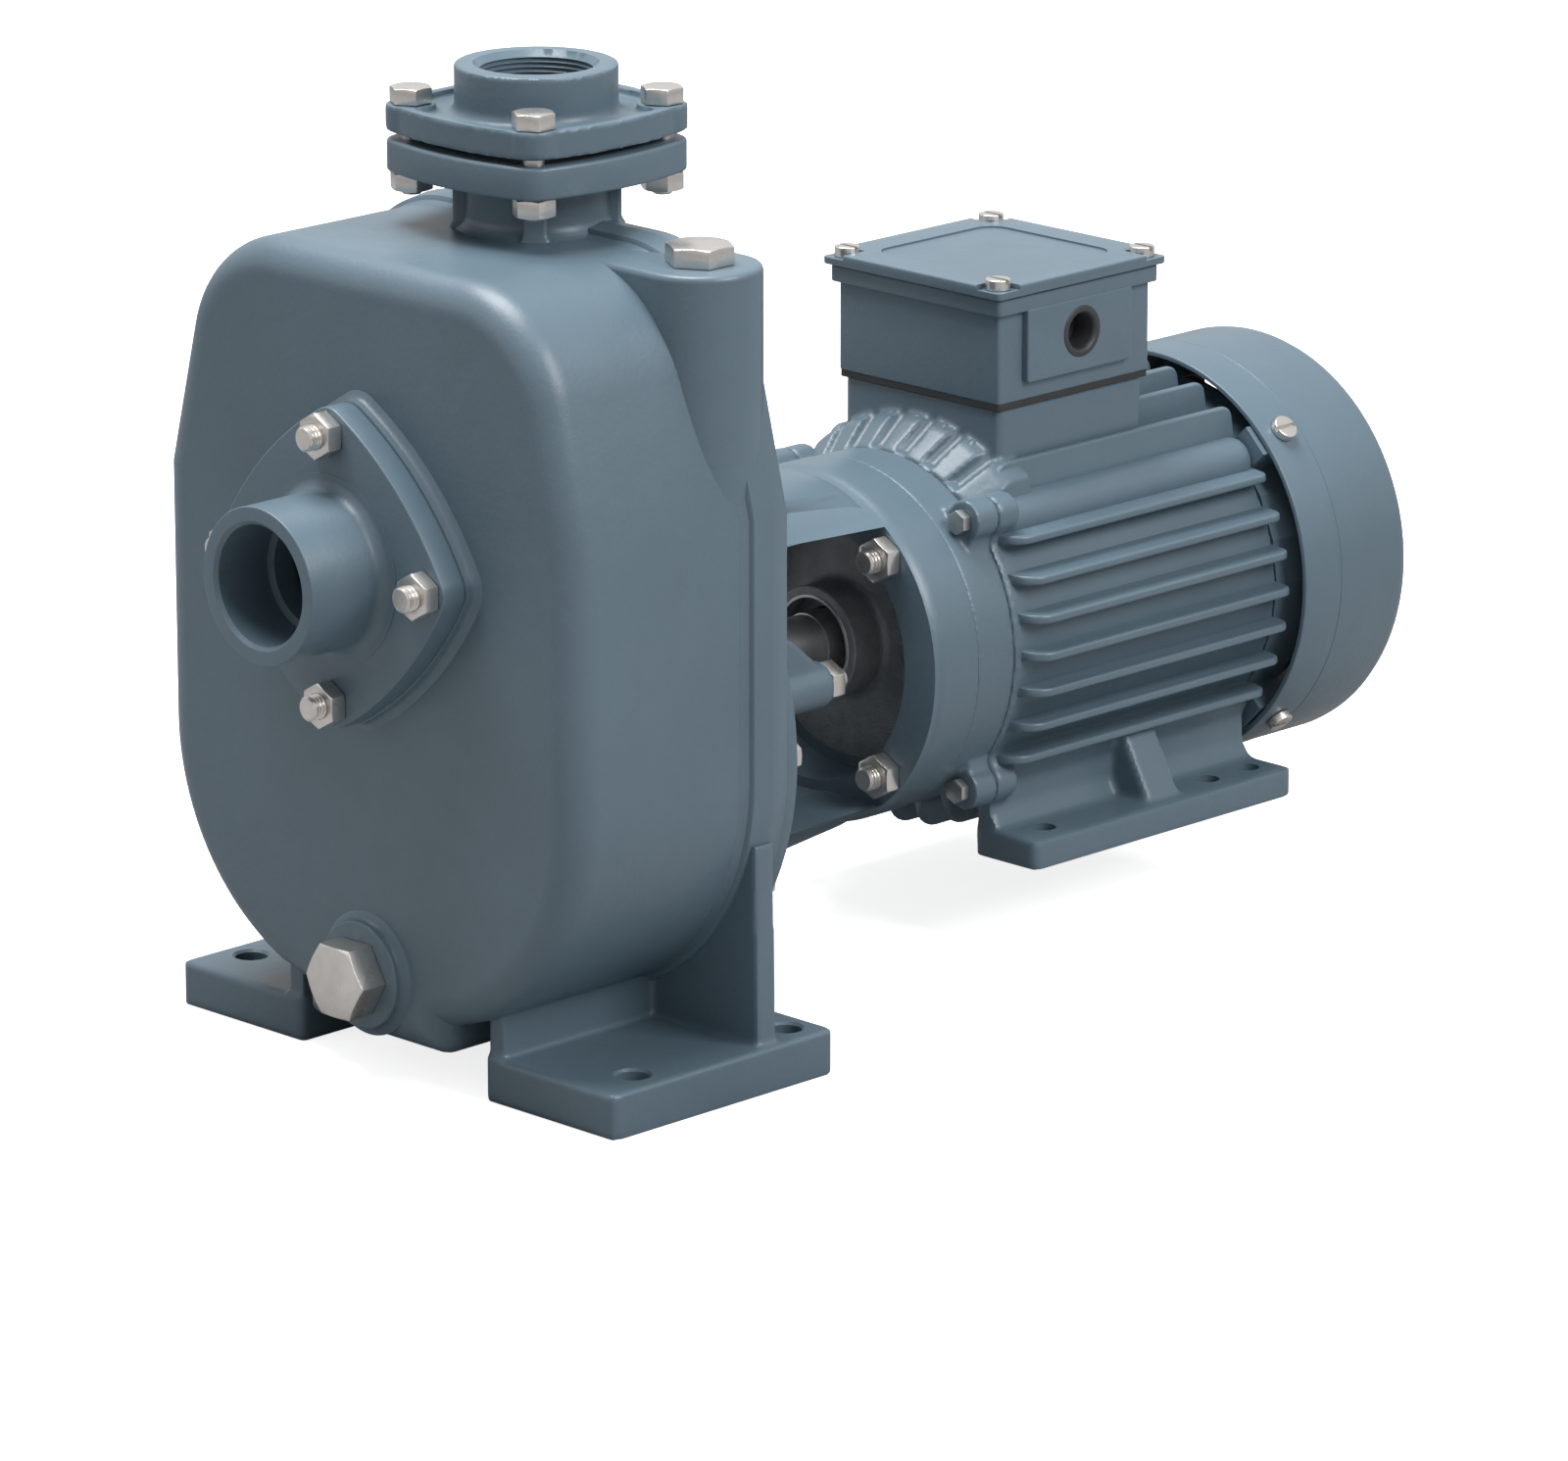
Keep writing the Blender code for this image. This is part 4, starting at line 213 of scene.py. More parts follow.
def at_places(bm, places):
    """The same shape at several places, unturned."""
    return repeated(bm, [Matrix.Translation(place) for place in places])


def bench_item(bm, name):
    """A short-lived object that a modifier can work on."""
    mesh = bpy.data.meshes.new(name)
    bm.to_mesh(mesh)
    bm.free()
    item = bpy.data.objects.new(name, mesh)
    bpy.context.scene.collection.objects.link(item)
    return item


def off_the_bench(item, *others):
    """The finished shape of a bench item, whose objects are then removed."""
    graph = bpy.context.evaluated_depsgraph_get()
    bm = bmesh.new()
    bm.from_mesh(item.evaluated_get(graph).to_mesh())
    for used in (item, *others):
        mesh = used.data
        bpy.data.objects.remove(used)
        bpy.data.meshes.remove(mesh)
    return bm


def combined(bm, tool, operation):
    """Cut, join or intersect two closed shapes."""
    item = bench_item(bm, "workpiece")
    other = bench_item(tool, "tool")
    step = item.modifiers.new("combine", "BOOLEAN")
    step.operation = operation
    step.solver = "EXACT"
    step.object = other
    return off_the_bench(item, other)


def cut(bm, *tools):
    """Take closed shapes away from another."""
    return combined(bm, gathered(tools), "DIFFERENCE")


def cast(shapes, grain, passes):
    """Melt overlapping closed shapes into one skin with the soft edges of a casting."""
    item = bench_item(gathered(shapes), "mould")
    step = item.modifiers.new("skin", "REMESH")
    step.mode = "VOXEL"
    step.voxel_size = grain
    bm = off_the_bench(item)
    for _ in range(passes):
        bmesh.ops.smooth_vert(bm, verts=bm.verts[:], factor=0.5, use_axis_x=True, use_axis_y=True,
                              use_axis_z=True)
    return bm


def soften(bm, width, steps=3, where=None):
    """Round the sharp edges of a shape."""
    edges = [edge for edge in bm.edges if len(edge.link_faces) == 2
             and edge.calc_face_angle(0) > BEVEL_ANGLE
             and (where is None or all(where(vert.co) for vert in edge.verts))]
    bmesh.ops.bevel(bm, geom=edges, offset=width, segments=steps, profile=0.5, affect="EDGES",
                    clamp_overlap=True, material=-1)
    return bm


def numbered(word):
    """The names of four like fasteners."""
    return [f"{word}_{number}" for number in range(1, 5)]


def finished(name, bm, slot, *nodes, body="pump", height=0.0, finish=None):
    """Place a piece in the frame, paint it, hang it on its body and hide the imported nodes that it
    replaces.
    """
    bmesh.ops.translate(bm, verts=bm.verts[:], vec=(0, FEET_FRONT, height))
    mesh = bpy.data.meshes.new(name)
    bm.to_mesh(mesh)
    bm.free()
    mesh.materials.append(finish_named(finish or slot))
    mesh.shade_smooth()
    mesh.set_sharp_from_angle(angle=SHARP_ANGLE)
    item = bpy.data.objects.new(name, mesh)
    bpy.context.scene.collection.objects.link(item)
    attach(item, body)
    if nodes:
        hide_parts(*nodes)


def arc(centre, radius, start, end, steps):
    """Points along an arc between two angles, both ends among them."""
    turns = [start + (end - start) * step / steps for step in range(steps + 1)]
    return [(centre[0] + radius * cos(turn), centre[1] + radius * sin(turn)) for turn in turns]


def rectangle(half_a, half_b, centre=(0, 0), ease=None):
    """Corners of a rectangle, rounded off where an ease is given."""
    tail = () if ease is None else (ease,)
    return [(centre[0] + a * half_a, centre[1] + b * half_b, *tail) for a, b in CORNER_SIGNS]


def around(circle, turns, height=0.0):
    """Points at given angles on a circle round a height."""
    return [(circle * cos(turn), height + circle * sin(turn)) for turn in turns]


def bulged_square(corner_circle, corner_radius, bulge, first_corner, centre):
    """Square with round corners centred on its fasteners and sides that are shallow outward arcs."""
    side = corner_circle / sqrt(2) + bulge
    setback = (corner_circle ** 2 - side ** 2) / (2 * side - sqrt(2) * corner_circle)
    side_radius = side + corner_radius + setback
    points = []
    for quarter in QUARTERS:
        turn = first_corner + quarter
        corner = Vector((cos(turn), sin(turn))) * corner_circle
        behind = turn + radians(45) + pi
        focus = Vector((cos(behind), sin(behind))) * setback
        lean = (corner - focus).angle_signed(Vector((1, 0)))
        half_corner = (lean - turn + pi) % tau - pi
        points += arc(centre + corner, corner_radius, turn - half_corner, turn + half_corner, ARC_STEPS)
        sweep = RIGHT_ANGLE - 2 * half_corner
        side_start = turn + half_corner
        points += arc(centre + focus, side_radius, side_start, side_start + sweep, ARC_STEPS)[1:-1]
    return points


# ---------------------------------------------------------------- finishes


class Wire:
    """A socket that can be reckoned with: each sum adds its Math node."""

    def __init__(self, tree, socket):
        self.tree = tree
        self.socket = socket

    def reckon(self, operation, first, second=0.0):
        """Add a Math node on two sockets or numbers."""
        node = self.tree.nodes.new("ShaderNodeMath")
        node.operation = operation
        for place, value in enumerate((first, second)):
            if isinstance(value, Wire):
                self.tree.links.new(value.socket, node.inputs[place])
            else:
                node.inputs[place].default_value = value
        return Wire(self.tree, node.outputs[0])

    def __add__(self, other):
        return self.reckon("ADD", self, other)

    def __radd__(self, other):
        return self.reckon("ADD", other, self)

    def __sub__(self, other):
        return self.reckon("SUBTRACT", self, other)

    def __rsub__(self, other):
        return self.reckon("SUBTRACT", other, self)

    def __mul__(self, other):
        return self.reckon("MULTIPLY", self, other)

    def __rmul__(self, other):
        return self.reckon("MULTIPLY", other, self)


class Nodes:
    """A node tree under construction."""

    def __init__(self, tree):
        self.tree = tree
        tree.nodes.clear()

    def node(self, kind, settings=None, values=None, output=0):
        """Any node: its settings first, then the values or links of its sockets."""
        node = self.tree.nodes.new(kind)
        for name, value in (settings or {}).items():
            setattr(node, name, value)
        for name, value in (values or {}).items():
            if isinstance(value, Wire):
                self.tree.links.new(value.socket, node.inputs[name])
            else:
                node.inputs[name].default_value = value
        return Wire(self.tree, node.outputs[output]) if node.outputs else None


class Finish(Nodes):
    """A material under construction."""

    def __init__(self, name):
        self.material = bpy.data.materials.new(name)
        self.material.use_nodes = True
        super().__init__(self.material.node_tree)
        self.place = self.node("ShaderNodeTexCoord", output="Object")

    def noise(self, scale, detail=2.0, roughness=0.5, place=None):
        """Cloudy variation between 0 and 1; scale is the number of clouds in a metre."""
        return self.node("ShaderNodeTexNoise", {"noise_dimensions": "3D"},
                         {"Vector": place or self.place, "Scale": scale, "Detail": detail,
                          "Roughness": roughness}, "Fac")

    def span(self, value, low, high, new_low, new_high):
        """Stretch a part of a value's range over another, held at both ends."""
        return self.node("ShaderNodeMapRange", {"clamp": True},
                         {"Value": value, "From Min": low, "From Max": high, "To Min": new_low,
                          "To Max": new_high}, "Result")

    def blend(self, share, first, second):
        """Two colours mixed; the Mix node's sockets for colours are numbers 6, 7 and, out, 2."""
        first, second = [end if isinstance(end, Wire) else (*end[:3], 1.0) for end in (first, second)]
        return self.node("ShaderNodeMix", {"data_type": "RGBA"}, {0: share, 6: first, 7: second}, 2)

    def edges(self, low, high):
        """1 on outward edges and 0 on flat ground, from the mesh's own curvature."""
        return self.span(self.node("ShaderNodeNewGeometry", output="Pointiness"), low, high, 0.0, 1.0)

    def bump(self, height, distance, normal=None):
        """Relief of a given depth, laid over an earlier relief where one is given."""
        values = {"Height": height, "Strength": 1.0, "Distance": distance}
        if normal:
            values["Normal"] = normal
        return self.node("ShaderNodeBump", None, values)

    def surface(self, **values):
        """Close the material with its shader; names are the shader's sockets."""
        sockets = {name.replace("_", " "): value for name, value in values.items()}
        shader = self.node("ShaderNodeBsdfPrincipled", None, sockets)
        self.node("ShaderNodeOutputMaterial", None, {"Surface": shader})
        return self.material


def shade(colour, share):
    """A colour made darker or lighter by a share."""
    return tuple(part * share for part in colour[:3])


def paint_finish(name, colour, roughness):
    """Satin enamel over a cast skin: broad unevenness, orange peel, fine sand grain and a painted
    highlight along outward edges.
    """
    f = Finish(name)
    broad = f.noise(9.0, 3.0)
    mottle = f.noise(70.0, 4.0, 0.6)
    peel = f.noise(420.0, 2.0)
    sand = f.noise(1500.0, 3.0, 0.65)
    # mask for a painted highlight on outward edges, from the mesh's curvature
    edge_highlight = f.edges(0.52, 0.60)
    base = f.blend(f.span(broad, 0.3, 0.7, 0.0, 1.0), shade(colour, 0.93), shade(colour, 1.06))
    base = f.blend(f.span(mottle, 0.35, 0.75, 0.0, 0.35), base, shade(colour, 0.88))
    # painted highlight: outward edges lightened towards a brighter enamel
    base = f.blend(edge_highlight * 0.35, base, shade(colour, 1.28))
    rough = roughness + (mottle - 0.5) * 0.10 + (sand - 0.5) * 0.06 - edge_highlight * 0.06
    skin = f.bump(broad * 0.6 + mottle * 0.4, 0.0006)
    skin = f.bump(peel, 0.00010, skin)
    skin = f.bump(sand, 0.00006, skin)
    return f.surface(Base_Color=base, Roughness=rough, Metallic=0.0, Normal=skin,
                     Specular_IOR_Level=0.45, Coat_Weight=0.12, Coat_Roughness=0.28)


def metal_finish(name, colour, roughness, brush, tint):
    """Plated or machined metal: faint clouding, fine scratches and a painted highlight that brightens
    its edges.
    """
    f = Finish(name)
    cloud = f.noise(160.0, 3.0)
    grain = f.noise(2600.0, 2.0, 0.6)
    stretched = f.node("ShaderNodeMapping", {"vector_type": "POINT"},
                       {"Vector": f.place, "Scale": (1.0, 1.0, brush)}, "Vector")
    lines = f.noise(900.0, 3.0, 0.6, stretched)
    # mask for a painted highlight on outward edges, from the mesh's curvature
    edge_highlight = f.edges(0.52, 0.62)
    base = f.blend(f.span(cloud, 0.3, 0.7, 0.0, 1.0), colour[:3], tint)
    # painted highlight: outward edges lightened towards a brighter metal
    base = f.blend(edge_highlight * 0.4, base, shade(colour, 1.12))
    rough = roughness + (cloud - 0.5) * 0.14 + (lines - 0.5) * 0.12
    skin = f.bump(lines, 0.000004)
    skin = f.bump(grain, 0.000002, skin)
    return f.surface(Base_Color=base, Roughness=rough, Metallic=0.92, Normal=skin)


def dull_finish(name, colour, roughness, grain_scale, depth, metallic=0.0):
    """Rubber, plastic or bare iron: a plain colour with grain, dust and a little unevenness."""
    f = Finish(name)
    cloud = f.noise(60.0, 3.0)
    grain = f.noise(grain_scale, 3.0, 0.6)
    base = f.blend(f.span(cloud, 0.3, 0.7, 0.0, 1.0), shade(colour, 0.8), shade(colour, 1.25))
    rough = roughness + (cloud - 0.5) * 0.12 + (grain - 0.5) * 0.1
    return f.surface(Base_Color=base, Roughness=rough, Metallic=metallic, Normal=f.bump(grain, depth))


def winding_finish(name, colour):
    """Lacquered copper turns."""
    f = Finish(name)
    turns = f.node("ShaderNodeTexWave", {"wave_type": "BANDS", "bands_direction": "Y"},
                   {"Vector": f.place, "Scale": 160.0, "Distortion": 2.0, "Detail": 2.0}, "Fac")
    base = f.blend(turns, shade(colour, 0.6), shade(colour, 1.15))
    return f.surface(Base_Color=base, Roughness=0.4 + turns * 0.1, Metallic=0.8,
                     Normal=f.bump(turns, 0.0004))


def finish_named(slot):
    """The material of a slot, made the first time that it is asked for."""
    name = f"finish_{slot}"
    if name in bpy.data.materials:
        return bpy.data.materials[name]
    colours = bpy.context.scene.pump_colours
    recipes = {
        "paint": (paint_finish, colours.paint, colours.paint_roughness),
        "zinc": (metal_finish, colours.zinc, 0.30, 0.15, (0.64, 0.61, 0.58)),
        "bolt": (metal_finish, colours.bolt, 0.38, 0.3, (0.40, 0.40, 0.40)),
        "steel": (metal_finish, colours.steel, 0.36, 0.08, (0.46, 0.46, 0.47)),
        "iron": (dull_finish, colours.iron, 0.6, 900.0, 0.0003, 0.5),
        "rubber": (dull_finish, colours.rubber, 0.7, 1300.0, 0.00008),
        "plastic": (dull_finish, colours.plastic, 0.45, 1800.0, 0.00006),
        "copper": (winding_finish, colours.copper),
    }
    make, *values = recipes[slot]
    return make(name, *values)


# ---------------------------------------------------------------- fasteners

STUD_RADIUS = 0.005
STUD_END = 0.0058
THREAD_PITCH = 0.0019
NUT_WIDTH = 0.017
NUT_HEIGHT = 0.008
WIDE_NUT = {"width": 0.0182, "radius": 0.0057, "tail": 0.0062}
HEAD_HEIGHT = 0.0071
SCREW_SHANK = 0.0025
HEX_CHAMFER = radians(20)
SEAT_GAP = 0.0003


def hex_body(width, height, ends=1):
    """A hexagon from y = 0 up, with the turned chamfer that leaves arcs on its flats."""
    corner = width / sqrt(3)
    bm = bmesh.new()
    bmesh.ops.create_cone(bm, cap_ends=True, cap_tris=False, segments=6, radius1=corner, radius2=corner,
                          depth=height)
    moved(bm, (0, height / 2, 0), -RIGHT_ANGLE, "X")
    rim = width / 2 * 0.99
    wide = corner * 1.2  # clear of the corners
    drop = (wide - rim) * tan(HEX_CHAMFER)
    if ends == 2:
        profile = [(0, 0), (rim, 0), (wide, drop), (wide, height - drop), (rim, height), (0, height)]
    else:
        profile = [(0, -height), (wide, -height), (wide, height - drop), (rim, height), (0, height)]
    bm = combined(bm, lathe(profile, sides=SMALL_SIDES * 2), "INTERSECT")
    return soften(bm, width * 0.012, 2)


def thread(radius, start, end):
    """A threaded end along Y with its rings and a chamfered tip."""
    depth = THREAD_PITCH * 0.55
    core = radius - depth
    profile = [(0, start), (core, start)]
    along = start
    while along + THREAD_PITCH * 1.6 < end:
        profile += [(core, along + THREAD_PITCH * 0.12), (radius, along + THREAD_PITCH * 0.5),
                    (radius, along + THREAD_PITCH * 0.62), (core, along + THREAD_PITCH)]
        along += THREAD_PITCH
    profile += [(radius, along + THREAD_PITCH * 0.4), (radius, end - depth), (core, end), (0, end)]
    return lathe(profile, sides=SMALL_SIDES)


def nut_on_stud(width=NUT_WIDTH, height=NUT_HEIGHT, radius=STUD_RADIUS, tail=STUD_END, root=0.0):
    """A nut seated at y = 0 with the stud's end beyond it and its root behind."""
    well = lathe([(0, height - radius * 0.1), (radius * 1.02, height - radius * 0.1),
                  (radius * 1.16, height + OVERRUN), (0, height + OVERRUN)], sides=SMALL_SIDES)
    shapes = [cut(hex_body(width, height, 2), well),
              thread(radius, height - radius * 0.2, height + tail)]
    if root:
        shapes.append(pin(radius, -root, height / 2))
    return gathered(shapes)


def bolt(width, height, shank_radius, shank):
    """A hexagon head seated at y = 0, with its shank behind it."""
    return gathered([hex_body(width, height), pin(shank_radius, -shank, 0.001)])


def slotted_screw(head_radius, head_height, shank, dome):
    """A slotted head seated at y = 0, with its shank behind it; dome is a share of its height."""
    head = lathe([(0, 0), (head_radius, 0, head_height * 0.06),
                  (head_radius, head_height, head_height * dome), (0, head_height)], sides=SMALL_SIDES)
    slot = slab(rectangle(head_radius * 1.2, head_radius * 0.16), "Y", head_height * 0.45,
                head_height + OVERRUN)
    return gathered([cut(head, slot), pin(SCREW_SHANK, -shank, head_height * 0.3)])


def bolted(seats, seat_height, shape):
    """Copies of a fastener made along +Y, stood on (x, y) seats at a height."""
    return at_places(upright(shape), [(x, y, seat_height) for x, y in seats])


def facing_front(seats, seat, shape):
    """Copies of a fastener that point to -Y, at (x, z) seats on a face."""
    return at_places(reversed_along_y(shape), [(x, seat, z) for x, z in seats])


# ---------------------------------------------------------------- pump casing

DISCHARGE_Y = 0.0926
DISCHARGE_BORE = 0.0251
NECK_TOP = 0.3936
LOWER_TOP = 0.4083
UPPER_BOTTOM = 0.4114
UPPER_TOP = 0.4238
DISCHARGE_TOP = 0.4418
DISCHARGE_HUB = 0.0360
DISCHARGE_CORNER = 0.0096
DISCHARGE_BULGE = 0.0055
FLANGE_RIM = 0.0055
BOLT_CIRCLE = 0.0549
PIPE_PITCH = 0.0022
PIPE_DEPTH = 0.0012
SUCTION_HEIGHT = 0.2365
SUCTION_CIRCLE = 0.0603
SUCTION_CORNER = 0.0117
SUCTION_BULGE = 0.006
PAD_FACE = -0.0185
SUCTION_FRONT = -0.0331
SUCTION_BACK = -0.0201
NOZZLE_TIP = -0.0751
NOZZLE_RADIUS = 0.0350
NOZZLE_HUB = 0.0425
PORT_RADIUS = 0.0265
DRAIN_HEIGHT = 0.049
DRAIN_FACE = -0.020
DRAIN_BORE = 0.0125
DRAIN_BOSS = 0.0245
BACK_BORE = 0.1003
COLUMN = (0.104, 0.090)
COLUMN_TOP = 0.369
COLUMN_BOTTOM = 0.285
COLUMN_RADIUS = 0.0275
CASING_WALL = 0.007
CAVITY_FRONT = CASING_FRONT + CASING_WALL
CAVITY_BACK = 0.105
FRONT_FILLET = 0.015
FILLET_RINGS = 9


def casing_outline(grow):
    """The casing seen from the front, (x, z), with every wall moved out by grow."""
    wall, shoulder_height = 0.1324, 0.2593
    corner_radius, belly_radius, belly_height = 0.060, 0.1134, 0.142
    corner = Vector((0.0578, CASING_TOP - corner_radius))
    to_corner = corner - Vector((wall, shoulder_height))
    heading = atan2(to_corner.y, to_corner.x) - asin(corner_radius / to_corner.length)
    taper = heading - RIGHT_ANGLE
    sump_half = 0.0455 + grow
    bottom = 0.0176 - grow
    toe = max(0.008 + grow, 0.002)
    half = arc((sump_half - toe, bottom + toe), toe, -RIGHT_ANGLE, 0, EASE_STEPS)
    half.append((sump_half, bottom + 0.014))
    half += arc((wall - belly_radius, belly_height), belly_radius + grow, radians(-67), 0, LONG_ARC)
    half.append((wall + grow, shoulder_height + grow * tan(taper / 2)))
    half += arc(corner, corner_radius + grow, taper, RIGHT_ANGLE, LONG_ARC)
    return half + [(-x, z) for x, z in reversed(half)]


def discharge_outline(extra):
    """The discharge flange from above, (x, y)."""
    return bulged_square(BOLT_CIRCLE, DISCHARGE_CORNER + extra, DISCHARGE_BULGE, radians(45),
                         Vector((0, DISCHARGE_Y)))


def suction_outline(extra):
    """The suction flange from the front, (x, z)."""
    return bulged_square(SUCTION_CIRCLE, SUCTION_CORNER + extra, SUCTION_BULGE, 0,
                         Vector((0, SUCTION_HEIGHT)))


def on_plane(value, level):
    return abs(value - level) < MERGE * 10


# Tools that open the casing and its pads


def port_tool():
    return moved(drum(PORT_RADIUS, PAD_FACE - OVERRUN, CAVITY_FRONT + OVERRUN), (0, 0, SUCTION_HEIGHT))


def drain_tool():
    return moved(pin(DRAIN_BORE, DRAIN_FACE - OVERRUN, CAVITY_FRONT + OVERRUN), (0, 0, DRAIN_HEIGHT))


def discharge_tool():
    bore = drum(DISCHARGE_BORE, CASING_TOP - 0.010, LOWER_TOP + OVERRUN)
    return moved(upright(bore), (0, DISCHARGE_Y, 0))


def back_tool():
    return moved(drum(BACK_BORE, 0.08, CASING_BACK + OVERRUN), (0, 0, SHAFT_HEIGHT))


def cavity_tool(start):
    return slab(casing_outline(-CASING_WALL), "Y", start, CAVITY_BACK)


def casing_shell():
    """Hollow shell with its large front fillet, opened for the ports and the lantern."""
    stations = [(CASING_FRONT, -FRONT_FILLET - 0.001)]
    for number in range(FILLET_RINGS + 1):
        turn = RIGHT_ANGLE * number / FILLET_RINGS
        stations.append((CASING_FRONT + FRONT_FILLET * (1 - cos(turn)), FRONT_FILLET * (sin(turn) - 1)))
    stations += [(CASING_FRONT + FRONT_FILLET + 0.001, 0), (CASING_BACK - 0.0012, 0),
                 (CASING_BACK - 0.0005, 0)]
    shell = cut(lofted(casing_outline, stations), cavity_tool(CAVITY_FRONT))
    return cut(shell, back_tool(), port_tool(), drain_tool(), discharge_tool())


def casing_lip():
    """Raised band round the back of the shell: a stepped front edge and a crease along its middle."""
    crease = (LIP_FRONT + CASING_BACK) / 2
    stations = [(LIP_FRONT - 0.0060, -0.0010), (LIP_FRONT - 0.0050, 0.0001),
                (LIP_FRONT - 0.0025, 0.0005), (LIP_FRONT - 0.0008, 0.0013),
                (LIP_FRONT - 0.0002, 0.0026), (LIP_FRONT + 0.0004, 0.0033), (crease - 0.0004, 0.0046),
                (crease + 0.0004, 0.0046), (CASING_BACK - 0.0010, 0.0030), (CASING_BACK, 0.0022)]
    return cut(cut(lofted(casing_outline, stations), cavity_tool(0.080)), back_tool())


def foot_casting(side):
    """Foot pad, its leg along the shaft and its rib across it, in one skin."""
    pad = slab(rectangle(0.0407, 0.0683, (side * 0.0997, 0.06835), 0.004), "Z", 0, 0.0207)
    leg = slab([(side * 0.0603, 0.01), (side * 0.0703, 0.01), (side * 0.0693, 0.051),
                (side * 0.0603, 0.051)], "Y", 0.002, CASING_BACK - 0.0003)
    rib = slab([(side * 0.0645, 0.0103), (side * 0.1362, 0.0103), (side * 0.1346, 0.112),
                (side * 0.0645, 0.112)], "Y", LIP_FRONT + 0.0020, LIP_FRONT + 0.0135)
    sizes = bpy.context.scene.pump_sizes
    foot = cast([pad, leg, rib], sizes.foot_grain, sizes.cast_passes)
    hole = upright(lathe([(0, -OVERRUN), (0.0075, -OVERRUN), (0.0075, 0.0195), (0.0090, 0.0210),
                          (0.0090, 0.04), (0, 0.04)], sides=SMALL_SIDES))
    return cut(foot, at_places(hole, [(side * 0.124, y, 0) for y in (0.028, 0.122)]))


def neck_rib(grow):
    """Two ribs of the discharge neck from above, as one bar through its middle."""
    return rectangle(0.0370 + grow, 0.0052 + grow, (0, 0), 0.002)


def neck_casting():
    """Discharge neck with its root fillet and four ribs, under the lower flange."""
    pipe = lathe([(0, 0.3600), (0.0390, 0.3600), (0.0390, CASING_TOP - 0.0010),
                  (0.0352, CASING_TOP + 0.0008, 0.001), (0.0325, CASING_TOP + 0.0042, 0.002),
                  (0.0320, 0.3885, 0.002), (0.0345, NECK_TOP), (0.0345, 0.400), (0, 0.400)])
    flange = soften(slab(discharge_outline(0.0012), "Z", NECK_TOP, LOWER_TOP), 0.0016)
    shapes = [moved(upright(pipe), (0, DISCHARGE_Y, 0)), flange]
    stations = [(CASING_TOP - 0.002, 0.0020), (CASING_TOP + 0.0004, 0.0014),
                (CASING_TOP + 0.0016, 0.0006), (CASING_TOP + 0.0032, 0), (NECK_TOP + 0.001, 0)]
    shapes += [moved(lofted(neck_rib, stations, "Z"), (0, DISCHARGE_Y, 0), turn, "Z")
               for turn in DIAGONALS[:2]]
    return [cut(shape, discharge_tool()) for shape in shapes]


def column_outline(inner):
    """The column from above, as an outline that reaches in to x = inner."""
    def outline(grow):
        y = COLUMN[1]
        reach = COLUMN_RADIUS + grow
        half = arc(COLUMN, reach, -RIGHT_ANGLE, RIGHT_ANGLE, LONG_ARC)
        return half + [(inner, y + reach), (inner, y - reach)]
    return outline


def column_casting():
    """Half-round column that carries the priming plug, with its tail down to the shoulder."""
    stations = [(COLUMN_BOTTOM, 0), (COLUMN_TOP - 0.0032, 0), (COLUMN_TOP - 0.0025, 0),
                (COLUMN_TOP - 0.0012, -0.0004), (COLUMN_TOP - 0.0004, -0.0012), (COLUMN_TOP, -0.0025)]
    column = lofted(column_outline(0.0504), stations, "Z")
    hole = upright(pin(0.0105, COLUMN_TOP - 0.045, COLUMN_TOP + OVERRUN))
    tail = lofted(column_outline(0.072), [(0.2625, -0.0004), (COLUMN_BOTTOM + 0.004, -0.0001)], "Z")
    return [cut(column, moved(hole, (*COLUMN, 0))), tail]


def make_casing():
    """The whole pump casing: shell, lip, suction pad, drain boss, neck, column and feet."""
    rim = SUCTION_BACK + 0.0002
    stations = [(rim, -0.0006), (rim + 0.0004, 0.0004), (CASING_FRONT - 0.0030, 0.0006),
                (CASING_FRONT - 0.0020, 0.0010), (CASING_FRONT - 0.0008, 0.0022),
                (CASING_FRONT, 0.0042), (CASING_FRONT + 0.002, 0.0050)]
    pad = cut(lofted(suction_outline, stations), port_tool())
    boss = lathe([(0, DRAIN_FACE), (DRAIN_BOSS, DRAIN_FACE, 0.0012),
                  (DRAIN_BOSS, CASING_FRONT - 0.0025, 0.002), (0.0285, CASING_FRONT + 0.0003),
                  (0.0285, CASING_FRONT + 0.002), (0, CASING_FRONT + 0.002)])
    boss = cut(moved(boss, (0, 0, DRAIN_HEIGHT)), drain_tool())
    shapes = [casing_shell(), casing_lip(), pad, boss, *neck_casting(), *column_casting(),
              foot_casting(-1), foot_casting(1)]
    finished("casing_casting", gathered(shapes), "paint", "pump_casing")


